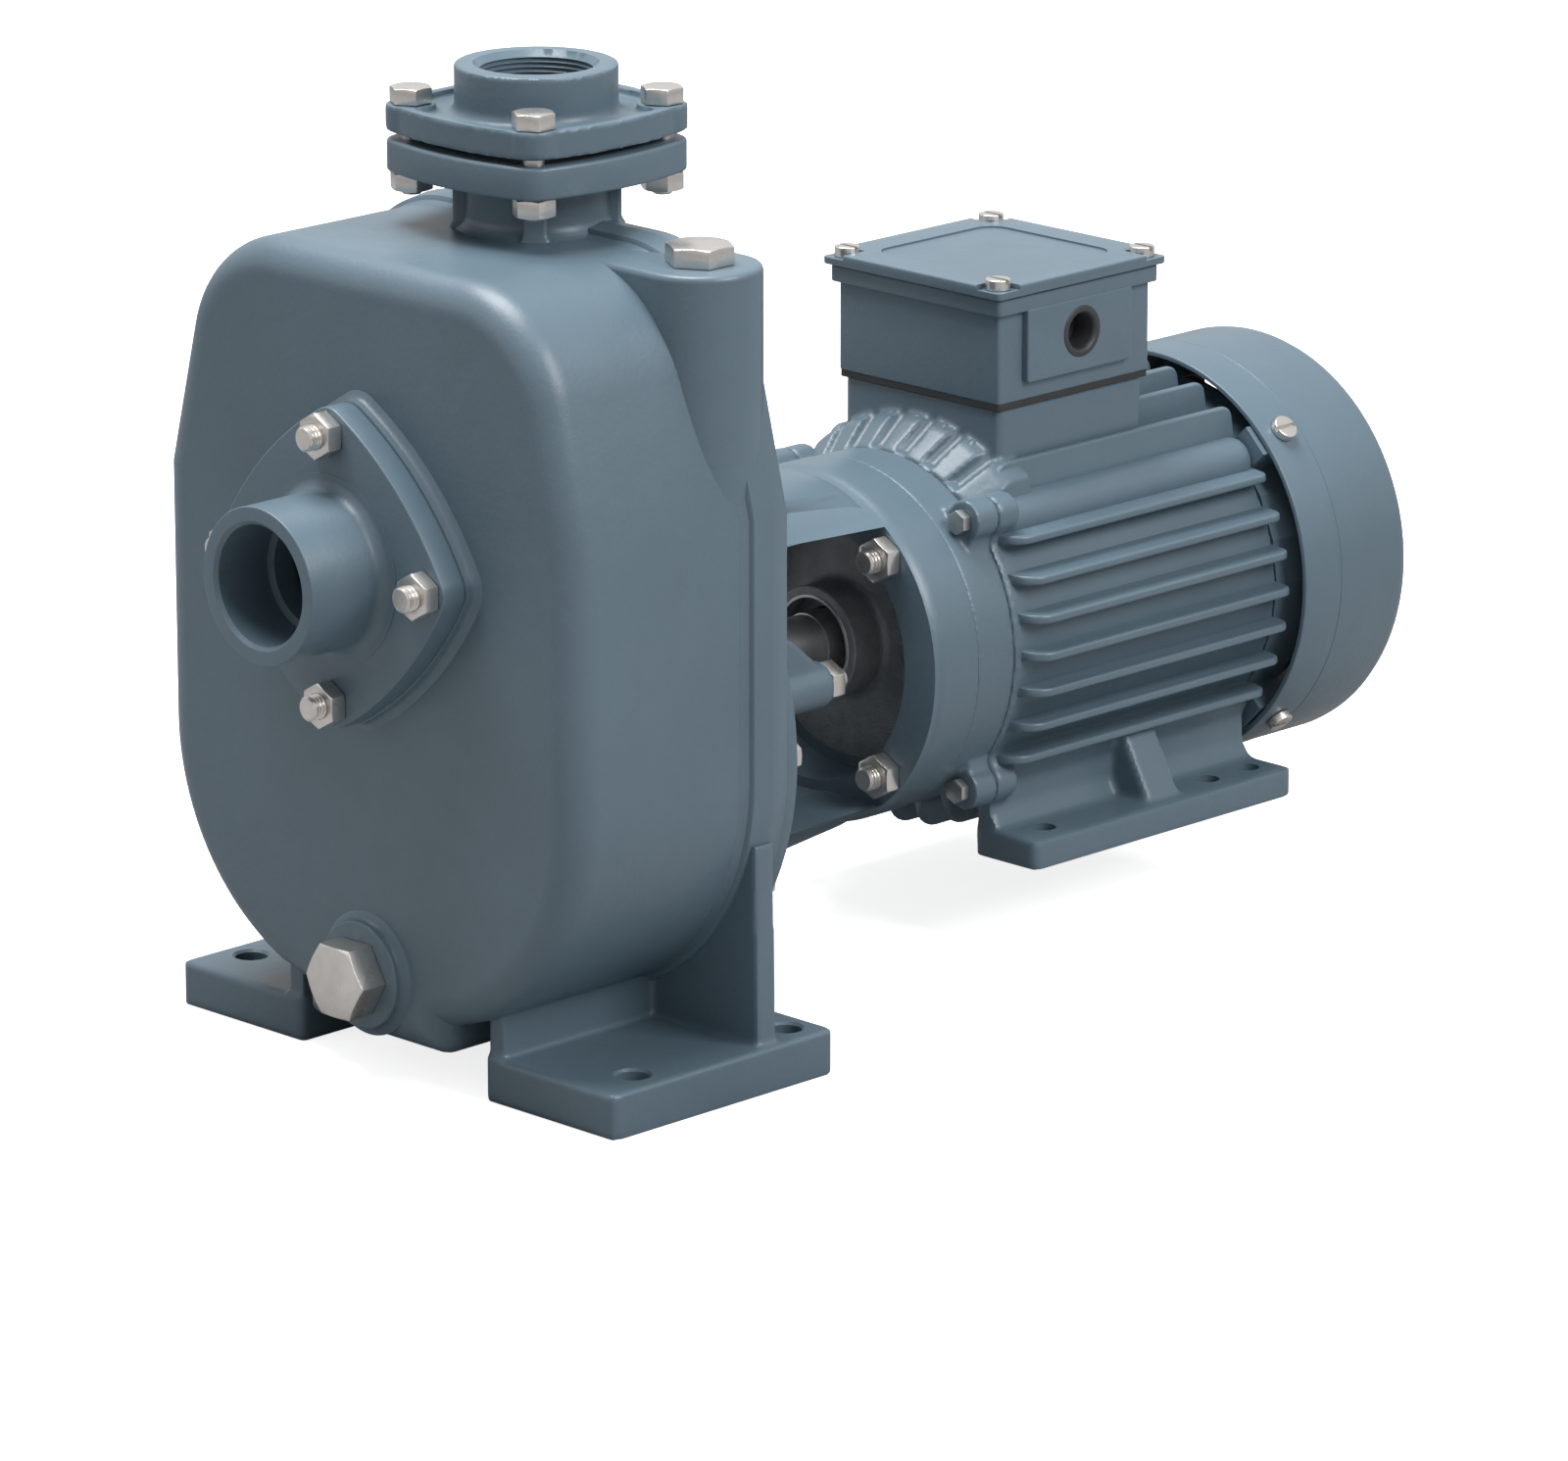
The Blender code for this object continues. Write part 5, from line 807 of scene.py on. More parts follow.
def make_discharge():
    """Pocketed flange with its threaded boss, and the bolts that hold it to the casing."""
    reach = BOLT_CIRCLE / sqrt(2)
    places = [(a * reach, DISCHARGE_Y + b * reach) for a, b in CORNER_SIGNS]
    flange = slab(discharge_outline(0), "Z", UPPER_BOTTOM, UPPER_TOP)
    pocket = slab(discharge_outline(-FLANGE_RIM), "Z", UPPER_TOP - 0.0035, UPPER_TOP + OVERRUN)
    boss = lathe([(0, UPPER_BOTTOM + MERGE), (0.0385, UPPER_BOTTOM + MERGE),
                  (0.0385, UPPER_TOP - 0.004), (DISCHARGE_HUB, UPPER_TOP - 0.001, 0.0015),
                  (DISCHARGE_HUB, DISCHARGE_TOP), (0, DISCHARGE_TOP)])
    pads = [moved(upright(drum(0.0112, UPPER_BOTTOM + 0.001, UPPER_TOP - 0.0002)), (x, y, 0))
            for x, y in places]
    bm = cast([cut(flange, pocket), moved(upright(boss), (0, DISCHARGE_Y, 0)), *pads], 0.0011, 2)
    profile = [(0, UPPER_BOTTOM - OVERRUN), (DISCHARGE_BORE, UPPER_BOTTOM - OVERRUN)]
    along = UPPER_BOTTOM + 0.001
    while along < DISCHARGE_TOP - 0.0045:
        profile += [(DISCHARGE_BORE, along), (DISCHARGE_BORE + PIPE_DEPTH, along + PIPE_PITCH / 2)]
        along += PIPE_PITCH
    profile += [(DISCHARGE_BORE, DISCHARGE_TOP - 0.0030), (DISCHARGE_BORE + 0.0028, DISCHARGE_TOP),
                (DISCHARGE_BORE + 0.0028, DISCHARGE_TOP + OVERRUN), (0, DISCHARGE_TOP + OVERRUN)]
    bm = cut(bm, moved(upright(lathe(profile)), (0, DISCHARGE_Y, 0)))
    finished("discharge_boss_flange", bm, "paint", "discharge_flange")
    heads = bolted(places, UPPER_TOP + SEAT_GAP, bolt(NUT_WIDTH, HEAD_HEIGHT, STUD_RADIUS, 0.033))
    nuts = at_places(moved(nut_on_stud(tail=0.0020), turn=-RIGHT_ANGLE, about="X"),
                     [(x, y, NECK_TOP - SEAT_GAP) for x, y in places])
    finished("discharge_bolting", gathered([heads, nuts]), "zinc", *numbered("discharge_bolt"))


def make_suction():
    """Diamond flange with its bored nozzle, and the four nuts on their studs."""
    flange = soften(slab(suction_outline(0), "Y", SUCTION_FRONT, SUCTION_BACK), 0.0008)
    nozzle = lathe([(0, SUCTION_BACK - 0.004), (NOZZLE_HUB, SUCTION_BACK - 0.004),
                    (NOZZLE_HUB, SUCTION_FRONT - 0.0003),
                    (NOZZLE_RADIUS, SUCTION_FRONT - 0.0008, 0.0052),
                    (NOZZLE_RADIUS, NOZZLE_TIP, 0.0006), (0, NOZZLE_TIP)])
    shapes = [flange, moved(nozzle, (0, 0, SUCTION_HEIGHT))]
    mouth, pipe, throat = [PORT_RADIUS + extra for extra in (0.0022, 0.0005, -0.0028)]
    bore = [(0, NOZZLE_TIP - OVERRUN), (mouth, NOZZLE_TIP - OVERRUN), (mouth, NOZZLE_TIP),
            (pipe, NOZZLE_TIP + 0.0017), (pipe, NOZZLE_TIP + 0.030), (throat, NOZZLE_TIP + 0.031),
            (throat, SUCTION_BACK + OVERRUN), (0, SUCTION_BACK + OVERRUN)]
    bm = gathered([cut(shape, moved(lathe(bore), (0, 0, SUCTION_HEIGHT))) for shape in shapes])
    finished("suction_nozzle_flange", bm, "paint", "suction_flange")
    seats = around(SUCTION_CIRCLE, QUARTERS, SUCTION_HEIGHT)
    nuts = facing_front(seats, SUCTION_FRONT - SEAT_GAP, nut_on_stud(**WIDE_NUT, root=0.017))
    finished("suction_nuts", nuts, "zinc", *numbered("suction_stud"))


def make_plugs():
    """Hexagon plugs of the priming column and the drain boss."""
    priming = moved(upright(bolt(0.027, 0.0085, 0.0098, 0.018)), (*COLUMN, COLUMN_TOP + SEAT_GAP))
    finished("priming_hex_plug", priming, "zinc", "priming_plug", body="priming_plug")
    head = moved(hex_body(0.032, 0.0144), turn=radians(30))
    drain = reversed_along_y(gathered([head, pin(0.0118, -0.016, 0.001)]))
    drain = moved(drain, (0, DRAIN_FACE - SEAT_GAP, DRAIN_HEIGHT))
    finished("drain_hex_plug", drain, "zinc", "drain_plug", body="drain_plug")


# ---------------------------------------------------------------- lantern and seal housing

GLAND_X = 0.050
GLAND_BACK = 0.2183
PLATE_RADIUS = 0.133
COVER_NUT_CIRCLE = 0.122
LANTERN_BORE = 0.068
LANTERN_FLANGE = 0.0837
LANTERN_CIRCLE = 0.072
WINDOW_HALF = 0.067
ARM_HALF = 0.030


def make_seal_housing():
    """Plate and tapered neck of the shaft seal, with two webbed lugs and their nuts."""
    body = lathe([(0.023, 0.0991), (0.1000, 0.0991), (0.1000, 0.1124), (0.0677, 0.1125),
                  (0.0677, 0.1243, 0.001), (0.0400, 0.1243, 0.003), (0.0352, 0.1290),
                  (0.0290, 0.1663, 0.002), (0.0165, 0.1663), (0.0165, 0.1633), (0.023, 0.1633)],
                 closed=True)
    shapes = []
    for side in (-1, 1):
        shapes.append(moved(drum(0.011, 0.1215, GLAND_BACK), (side * GLAND_X, 0, 0)))
        web = slab([(0.1213, 0), (0.1213, 0.036), (0.1823, 0.036, 0.02), (0.2123, 0.0108), (0.2123, 0)],
                   "X", -0.007, 0.007)
        shapes.append(moved(web, (side * GLAND_X, 0, 0)))
    bm = gathered([body, cast(shapes, 0.0012, 4)])
    finished("seal_neck_housing", bm, "paint", "seal_housing", height=SHAFT_HEIGHT)
    nuts = at_places(nut_on_stud(root=0.0055), [(side * GLAND_X, GLAND_BACK + SEAT_GAP, SHAFT_HEIGHT)
                                                for side in (-1, 1)])
    finished("gland_nuts", nuts, "zinc", "gland_stud_left", "gland_stud_right")


def wedge_outline(share):
    """Back of a lantern arm; as the share grows it sinks into the barrel and its foot spreads."""
    radius = 0.0882 - 0.0056 * share
    foot = 0.031 + 0.009 * share
    lean = asin(ARM_HALF / radius)
    low = sqrt(0.0832 ** 2 - foot ** 2) - 0.001  # just inside the barrel's skin
    back = arc((0, 0), radius, RIGHT_ANGLE - lean, RIGHT_ANGLE + lean, ARC_STEPS)
    return [(-foot, low), (foot, low), *back]


def make_lantern():
    """Round plate, windowed barrel and motor flange in one casting, with the nuts that hold it."""
    plate = lathe([(LANTERN_BORE, PLATE_FRONT), (PLATE_RADIUS, PLATE_FRONT, 0.0006),
                   (PLATE_RADIUS, PLATE_BACK, 0.0012), (0.0880, PLATE_BACK),
                   (0.0880, PLATE_FRONT + 0.001), (LANTERN_BORE, PLATE_FRONT + 0.001)], closed=True)
    barrel = lathe([(LANTERN_BORE, PLATE_FRONT + 0.002), (0.0875, PLATE_FRONT + 0.002),
                    (0.0875, PLATE_BACK + 0.0008), (0.0840, PLATE_BACK + 0.0045, 0.003),
                    (0.0823, FLANGE_FRONT), (LANTERN_FLANGE, FLANGE_FRONT + 0.004, 0.002),
                    (LANTERN_FLANGE, FLANGE_BACK, 0.0008), (0.063, FLANGE_BACK),
                    (0.063, FLANGE_FRONT), (LANTERN_BORE, FLANGE_FRONT)], closed=True)
    for reach in (-0.0950, 0.0950):
        window = slab([(0, -WINDOW_HALF), (reach, -WINDOW_HALF), (reach, WINDOW_HALF),
                       (0, WINDOW_HALF)], "Y", PLATE_BACK + 0.001, FLANGE_FRONT)
        barrel = cut(barrel, window)
    soften(barrel, 0.0016, 3,
           lambda co: on_plane(abs(co.z), WINDOW_HALF) and FLANGE_FRONT > co.y > PLATE_BACK)
    holes = [moved(pin(0.0060, FLANGE_FRONT - OVERRUN, FLANGE_BACK + OVERRUN), (x, 0, z))
             for x, z in around(LANTERN_CIRCLE, DIAGONALS)]
    shapes = [plate, cut(barrel, *holes)]
    stations = [(PLATE_BACK + 0.001, 0), (0.2080, 0), (0.2525, 0.80), (0.2580, 1)]
    for turn in (0, pi):
        wedge = soften(lofted(wedge_outline, stations), 0.0008, 2)
        shapes.append(moved(wedge, turn=turn))
    finished("lantern_casting", gathered(shapes), "paint", "lantern_bracket", height=SHAFT_HEIGHT)
    ring = around(COVER_NUT_CIRCLE, [tau * number / 12 for number in range(12)], SHAFT_HEIGHT)
    nuts = at_places(hex_body(0.013, 0.0066), [(x, PLATE_BACK + 0.0001, z) for x, z in ring])
    finished("cover_nuts", nuts, "zinc")
    nuts = facing_front(around(LANTERN_CIRCLE, DIAGONALS, SHAFT_HEIGHT), FLANGE_FRONT - SEAT_GAP,
                        nut_on_stud(**WIDE_NUT, root=0.032))
    finished("lantern_nuts", nuts, "zinc", *numbered("lantern_stud"))


# ---------------------------------------------------------------- motor

EAR_CIRCLE = 0.0900
EAR_FRONT = 0.2975
FIN_PITCH = 0.01735
FIN_ROOT = 0.0785
FIN_HALF = 0.0027
FIN_TAPER = 0.24
SIDE_TIP = 0.0945
TOP_TIP = 0.0975
FOOT_HOLE_X = 0.080
BARREL = 0.0830
LOBE_CIRCLE = 0.0800
CROWN_RADIUS = 0.0962
CROWN_BACK = 0.3460
SCOOP_RADIUS = 0.0036
SCOOP_LEAN = radians(36)
BOX_Y = 0.3842
ENTRY_HEIGHT = 0.2811
COVER_SIDES = 160
SLOT_PITCH = 0.022
SLOT_WIDTH = 0.013
SPOKE_HALF = 0.004


def make_front_shield():
    """Drive-end shield whose rim flows round four bolt ears, with its bearing collar and bolts."""
    ring = tube(0.056, 0.0832, SHIELD_FRONT, SHIELD_BACK)
    face = lathe([(0.0157, 0.292), (0.0157, 0.275), (0.022, 0.275), (0.022, 0.265, 0.0004),
                  (0.027, 0.265, 0.001), (0.027, 0.2845, 0.004), (0.060, 0.2882), (0.060, 0.300),
                  (0.0313, 0.300), (0.0313, 0.2948), (0.0157, 0.2948)], closed=True)
    ears = []
    for turn in DIAGONALS:
        ear = drum(0.0095, EAR_FRONT, SHIELD_BACK)
        ears.append(moved(moved(ear, (EAR_CIRCLE, 0, 0)), turn=-turn))
        root = slab([(0.0795, -0.0165), (0.0850, -0.0098, 0.003), (0.0895, -0.0088), (0.0895, 0.0088),
                     (0.0850, 0.0098, 0.003), (0.0795, 0.0165)], "Y", EAR_FRONT + 0.0010, SHIELD_BACK)
        ears.append(moved(root, turn=-turn))
    finished("shield_casting", cast([ring, *ears], 0.0010, 3), "paint", "motor_front_shield",
             height=SHAFT_HEIGHT)
    finished("shield_face", face, "iron", height=SHAFT_HEIGHT)
    bright = lathe([(0.0216, 0.2644), (0.0230, 0.2644, 0.0005), (0.0230, 0.2662), (0.0216, 0.2662)],
                   closed=True)
    finished("shield_bright_ring", bright, "steel", height=SHAFT_HEIGHT)
    bolts = facing_front(around(EAR_CIRCLE, DIAGONALS, SHAFT_HEIGHT), EAR_FRONT - SEAT_GAP,
                         bolt(0.010, 0.0048, 0.003, 0.02))
    finished("shield_hex_bolts", bolts, "zinc", *numbered("shield_bolt"), finish="bolt")


def fins(tip, front, nose, *turns):
    """Fins along the shaft on one or more sides; their fronts lean back and outer corners are round."""
    plates = []
    for offset in [FIN_PITCH * (number - 3) for number in range(7)]:
        reach = sqrt(tip ** 2 - offset ** 2)
        root = sqrt(FIN_ROOT ** 2 - offset ** 2)
        start = FRAME_FRONT + 0.0030
        end = FRAME_BACK - 0.0003
        for turn in turns:
            plate = slab([(root, start), (reach, start + front, nose), (reach, end, 0.006),
                          (root, end)], "Z", offset - FIN_HALF, offset + FIN_HALF)
            for vert in plate.verts:
                share = (vert.co.x - root) / (reach - root)
                vert.co.z = offset + (vert.co.z - offset) * (1 - FIN_TAPER * share)
            soften(plate, 0.0013, 3, lambda co: co.x > root + 0.002)
            plates.append(moved(plate, turn=turn))
    return plates


def motor_foot(side):
    """Foot pad with its leg wall and the rib between them, below the shaft."""
    inner = 0.0562
    pad = slab(rectangle(0.01965, 0.0885, (side * 0.07585, 0.4019), 0.004), "Z", -0.1, -0.0857)
    leg = slab([(side * inner, -0.093), (side * 0.0742, -0.093), (side * 0.0652, -0.0767),
                (side * 0.0652, -0.048), (side * inner, -0.048)], "Y", 0.3150, 0.4890)
    rib = slab([(side * inner, -0.093), (side * 0.0938, -0.093), (side * 0.0722, -0.0535),
                (side * inner, -0.0535)], "Y", 0.3965, 0.4180)
    return [pad, leg, rib]


def frame_crown():
    """Ribbed shoulder over the motor's front: a sector of a turned cone, with leaning scoops."""
    crown = lathe([(0.077, FRAME_FRONT + 0.0006), (BARREL, FRAME_FRONT + 0.0006),
                   (CROWN_RADIUS, 0.3300, 0.005), (CROWN_RADIUS, CROWN_BACK), (0.077, CROWN_BACK)],
                  closed=True)
    sector = slab([(0, 0), (0.0610, 0.0610), (0.0560, 0.12), (-0.0560, 0.12), (-0.0610, 0.0610)],
                  "Y", 0.30, 0.36)
    crown = combined(crown, sector, "INTERSECT")
    for number in range(8):
        scoop = moved(pin(SCOOP_RADIUS, -0.004, 0.045), (0.0828, 0.3130, 0), -SCOOP_LEAN, "Z")
        bearing = asin(FIN_PITCH * (number - 3.5) / EAR_CIRCLE)
        crown = cut(crown, moved(scoop, turn=-RIGHT_ANGLE - bearing))
    return crown


def frame_saddle():
    """The barrel's own top, which the crown and the pedestal flow into."""
    saddle = tube(0.0772, BARREL - 0.0006, FRAME_FRONT + 0.001, FRAME_BACK - 0.001)
    sector = slab([(0, 0.03), (0.0600, 0.0560), (0.0600, 0.12), (-0.0600, 0.12), (-0.0600, 0.0560)],
                  "Y", 0.30, 0.50)
    return combined(saddle, sector, "INTERSECT")


def make_motor_frame():
    """Finned barrel with lobes and feet, its top with the crown and pedestal, and its underside."""
    grain = bpy.context.scene.pump_sizes.frame_grain
    shapes = [tube(0.0768, BARREL, FRAME_FRONT, FRAME_BACK)]
    for x, z in around(LOBE_CIRCLE, DIAGONALS):
        shapes.append(moved(drum(0.0118, FRAME_FRONT + 0.001, FRAME_BACK - 0.0005, 0.003), (x, 0, z)))
    for x, z in around(EAR_CIRCLE, DIAGONALS):
        shapes.append(moved(drum(0.0094, FRAME_FRONT, FRAME_FRONT + 0.0140, 0.0015), (x, 0, z)))
    for side in (-1, 1):
        shapes += motor_foot(side)
    hole = upright(pin(0.006, -0.11, -0.07))
    bm = cut(cast(shapes, grain, 2), at_places(hole, [(side * FOOT_HOLE_X, y, 0) for side in (-1, 1)
                                                      for y in (0.3349, 0.4469, 0.4749)]))
    finished("frame_casting", gathered([bm, *fins(SIDE_TIP, 0.004, 0.009, 0, pi)]), "paint",
             "motor_frame", height=SHAFT_HEIGHT)
    pedestal = slab(rectangle(0.0494, 0.0490, (0, BOX_Y), 0.004), "Z", 0.040, 0.2510 - SHAFT_HEIGHT)
    top = cast([frame_crown(), pedestal, frame_saddle()], 0.0012, 2)
    finished("frame_top_casting", gathered([top, *fins(TOP_TIP, 0.018, 0.004, -RIGHT_ANGLE)]), "paint",
             height=SHAFT_HEIGHT)
    finished("frame_under_fins", gathered(fins(TOP_TIP, 0.004, 0.008, RIGHT_ANGLE)), "paint",
             height=SHAFT_HEIGHT)


def make_fan_cover():
    """Drawn sheet cover with a rolled rear edge, a seam and rings of curved slots, and its screws."""
    seam, outer, inside = 0.5185, 0.0985, 0.0965
    cover = lathe([(inside, COVER_FRONT), (outer + 0.0002, COVER_FRONT, 0.0008), (outer + 0.0002, seam),
                   (outer - 0.0003, seam + 0.0003), (outer - 0.0003, seam + 0.0009),
                   (outer, seam + 0.0012), (outer, COVER_BACK, 0.0095), (0, COVER_BACK),
                   (0, COVER_BACK - 0.002), (inside, COVER_BACK - 0.002, 0.0075)], closed=True,
                  sides=COVER_SIDES)
    slots = []
    for ring in range(3):
        near = SLOT_PITCH * (ring + 1)
        far = near + SLOT_WIDTH
        for start in QUARTERS:
            end = start + RIGHT_ANGLE
            outline = arc((0, 0), far, start + SPOKE_HALF / far, end - SPOKE_HALF / far, LONG_ARC)
            outline += arc((0, 0), near, end - SPOKE_HALF / near, start + SPOKE_HALF / near, LONG_ARC)
            slots.append(slab(outline, "Y", COVER_BACK - 0.006, COVER_BACK + OVERRUN))
    finished("fan_cowl", cut(cover, *slots), "paint", "fan_cover", height=SHAFT_HEIGHT)
    screw = moved(sideways(slotted_screw(0.0061, 0.0038, 0.008, 0.15)), (0.0990, 0.5076, 0))
    screws = repeated(screw, [Matrix.Rotation(-turn, 4, "Y") for turn in DIAGONALS])
    finished("cowl_screws", screws, "zinc", *numbered("fan_cover_screw"), height=SHAFT_HEIGHT)


def at_entry(shape):
    """A shape turned about Y, laid along X through the cable entry."""
    return moved(sideways(shape), (0, BOX_Y + 0.001, ENTRY_HEIGHT))


def make_terminal_box():
    """Box with its rim and entry pad, lid with its notched panel, screws and the cable bush."""
    bottom, top, lid_bottom, lid_top = 0.2521, 0.3041, 0.3044, 0.3102
    centre = (0, BOX_Y)
    box = slab(rectangle(0.0512, 0.0508, centre, 0.002), "Z", bottom + 0.0018, top - 0.0075)
    rim = slab(rectangle(0.0544, 0.0538, centre, 0.003), "Z", top - 0.008, top - 0.0003)
    near, far = BOX_Y - 0.0350, BOX_Y + 0.0350
    pad = slab([(near, 0.2622, 0.002), (far, 0.2622, 0.002), (far, 0.2970), (near, 0.2970)],
               "X", 0.047, 0.0548)
    seal = slab(rectangle(0.0509, 0.0505, centre, 0.002), "Z", bottom - 0.0013, bottom + 0.0019)
    finished("junction_seal", soften(seal, 0.0003, 1), "rubber")
    box, pad = [cut(soften(shape, 0.0010), at_entry(pin(0.0102, 0.040, 0.06))) for shape in (box, pad)]
    finished("junction_box", gathered([box, soften(rim, 0.0008), pad]), "paint", "terminal_box")
    bush = lathe([(0.0082, 0.041), (0.0097, 0.041), (0.0097, 0.0538), (0.0122, 0.0538),
                  (0.0122, 0.0553, 0.0008), (0.0096, 0.0553, 0.0005), (0.0088, 0.0545),
                  (0.0082, 0.0535)], closed=True, sides=SMALL_SIDES)
    bush = at_entry(gathered([bush, pin(0.0080, 0.0405, 0.0425)]))
    finished("cable_bush", bush, "plastic", "cable_entry_bush")
    lid = soften(slab(rectangle(0.0566, 0.0566, centre, 0.003), "Z", lid_bottom, lid_top), 0.0009)
    pockets = [slab(rectangle(0.0100, 0.0100, (a * 0.0524, BOX_Y + b * 0.0524)), "Z", lid_top - 0.0024,
                    lid_top + OVERRUN) for a, b in CORNER_SIGNS]
    panel = slab(rectangle(0.0400, 0.0400, centre, 0.010), "Z", lid_top - 0.0009, lid_top + OVERRUN)
    finished("junction_lid", cut(lid, panel, *pockets), "paint", "terminal_box_lid")
    seats = [(a * 0.0481, BOX_Y + b * 0.0483) for a, b in CORNER_SIGNS]
    screws = bolted(seats, lid_top - 0.0023, slotted_screw(0.0059, 0.0050, 0.007, 0.12))
    finished("lid_slotted_screws", screws, "zinc", *numbered("lid_screw"))


def make_shaft():
    """Turned shaft, seen through the lantern's windows."""
    steps = [(0, 0.0645), (0.0100, 0.0645, 0.001), (0.0100, 0.1125), (0.0145, 0.1125, 0.001),
             (0.0145, 0.2603), (0.0150, 0.2606), (0.0150, 0.3118), (0.018, 0.3121), (0.018, 0.4906),
             (0.0150, 0.4909), (0.0150, 0.5079), (0.0110, 0.5079), (0.0110, 0.5479, 0.001), (0, 0.5479)]
    finished("shaft_turned", lathe(steps, sides=SHAFT_SIDES), "steel", "rotor_shaft", body="rotor",
             height=SHAFT_HEIGHT)


def dress_frame_nodes():
    """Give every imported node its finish, by the slot that the record names for it."""
    slots = {part["node"]: part["material_slot"] for part in frame["record"]["subparts"]}
    for name, item in frame["nodes"].items():
        item.data.materials.clear()
        item.data.materials.append(finish_named(slots[name]))


# ---------------------------------------------------------------- stage

CAMERA_AIM = Vector((0, -0.00124, 0.10729))
CAMERA_BACK = Vector((0.67794, -0.68223, 0.27379))
CAMERA_DISTANCE = 4.11575
CAMERA_LENS = 206.16
CAMERA_SENSOR = 36.0
LAMP_AIM = Vector((0, 0, 0.2))


def lamp(name, place, size, power):
    """A soft square lamp turned towards the pump's middle."""
    data = bpy.data.lights.new(name, "AREA")
    data.shape = "SQUARE"
    data.size = size
    data.energy = power
    item = bpy.data.objects.new(name, data)
    item.location = place
    item.rotation_euler = (Vector(place) - LAMP_AIM).to_track_quat("Z", "Y").to_euler()
    bpy.context.scene.collection.objects.link(item)


def floor_finish():
    """White studio floor that glows faintly to the camera, so that only the shadow shows on it."""
    f = Finish("floor_white")
    seen = f.node("ShaderNodeLightPath", output="Is Camera Ray")
    white = f.blend(f.noise(3.0) * 0.1, (0.86, 0.86, 0.86), (0.83, 0.83, 0.83))
    diffuse = f.node("ShaderNodeBsdfDiffuse", None, {"Color": white, "Roughness": 0.5})
    bounce = f.node("ShaderNodeBsdfDiffuse", None, {"Color": (0.34, 0.34, 0.34, 1), "Roughness": 0.5})
    glow = f.node("ShaderNodeEmission", None, {"Color": (1, 1, 1, 1), "Strength": 0.80})
    lit = f.node("ShaderNodeAddShader", None, {0: diffuse, 1: glow})
    mix = f.node("ShaderNodeMixShader", None, {0: seen, 1: bounce, 2: lit})
    f.node("ShaderNodeOutputMaterial", None, {"Surface": mix})
    return f.material


def studio_world(level):
    """Even grey light, and plain white where the camera or a shiny surface looks past the floor."""
    world = bpy.data.worlds.new("studio")
    bpy.context.scene.world = world
    world.use_nodes = True
    sky = Nodes(world.node_tree)
    seen, glossy, clear = [sky.node("ShaderNodeLightPath", output=f"Is {ray} Ray")
                           for ray in ("Camera", "Glossy", "Transmission")]
    share = seen.reckon("MAXIMUM", seen, glossy * 0.55)
    share = seen.reckon("MAXIMUM", share, clear)
    light = sky.node("ShaderNodeBackground", None,
                     {"Color": (1, 1, 1, 1), "Strength": share * (1.0 - level) + level})
    sky.node("ShaderNodeOutputWorld", None, {"Surface": light})


def make_stage():
    """White floor, soft lamps and the camera at the photograph's angle."""
    bm = bmesh.new()
    bmesh.ops.create_grid(bm, x_segments=8, y_segments=8, size=40)
    bmesh.ops.translate(bm, verts=bm.verts[:], vec=(0, 0, -0.0002))
    mesh = bpy.data.meshes.new("studio_floor")
    bm.to_mesh(mesh)
    bm.free()
    mesh.materials.append(floor_finish())
    floor = bpy.data.objects.new("studio_floor", mesh)
    bpy.context.scene.collection.objects.link(floor)
    light = bpy.context.scene.pump_light
    studio_world(light.world_level)
    lamp("key_right", (2.6, 0.4, 2.2), 1.6, light.key_power)
    lamp("top_front", (-0.5, -0.30, 2.9), 1.7, light.top_power)
    lamp("fill_front", (-1.6, -3.0, 1.6), 2.0, light.fill_power)
    data = bpy.data.cameras.new("photo_camera")
    data.lens = CAMERA_LENS
    data.sensor_width = CAMERA_SENSOR
    camera = bpy.data.objects.new("photo_camera", data)
    camera.location = CAMERA_AIM + CAMERA_BACK.normalized() * CAMERA_DISTANCE
    camera.rotation_euler = CAMERA_BACK.to_track_quat("Z", "Y").to_euler()
    bpy.context.scene.collection.objects.link(camera)
    bpy.context.scene.camera = camera
    bpy.context.scene.view_settings.view_transform = "Standard"


# ---------------------------------------------------------------- settings, operators and panel


def colour_setting(name, description, default):
    return bpy.props.FloatVectorProperty(name=name, description=description, default=default, size=3,
                                         min=0.0, max=1.0, subtype="COLOR")


def length_setting(name, description, default):
    return bpy.props.FloatProperty(name=name, description=description, default=default, min=0.0005,
                                   max=0.02, unit="LENGTH", subtype="DISTANCE", precision=4)


def power_setting(name, description, default):
    return bpy.props.FloatProperty(name=name, description=description, default=default, min=0.0,
                                   unit="POWER")


class PumpColours(bpy.types.PropertyGroup):
    paint: colour_setting("Enamel", "Blue-grey enamel of all castings", (0.100, 0.148, 0.186))
    paint_roughness: bpy.props.FloatProperty(name="Enamel roughness", description="Satin of the enamel",
                                             default=0.40, min=0.05, max=1.0, subtype="FACTOR")
    zinc: colour_setting("Plated nuts", "Bright plating of nuts, bolts and plugs", (0.70, 0.67, 0.64))
    bolt: colour_setting("Shield bolts", "Duller plating of the small shield bolts", (0.46, 0.46, 0.46))
    steel: colour_setting("Shaft steel", "Turned steel of the shaft", (0.56, 0.56, 0.57))
    iron: colour_setting("Bare iron", "Impeller and other bare castings", (0.30, 0.305, 0.315))
    rubber: colour_setting("Rubber", "Gaskets and valve flap", (0.022, 0.022, 0.024))
    plastic: colour_setting("Plastic", "Cable bush, fan and terminal board", (0.030, 0.031, 0.034))
    copper: colour_setting("Windings", "Lacquered copper", (0.50, 0.22, 0.10))


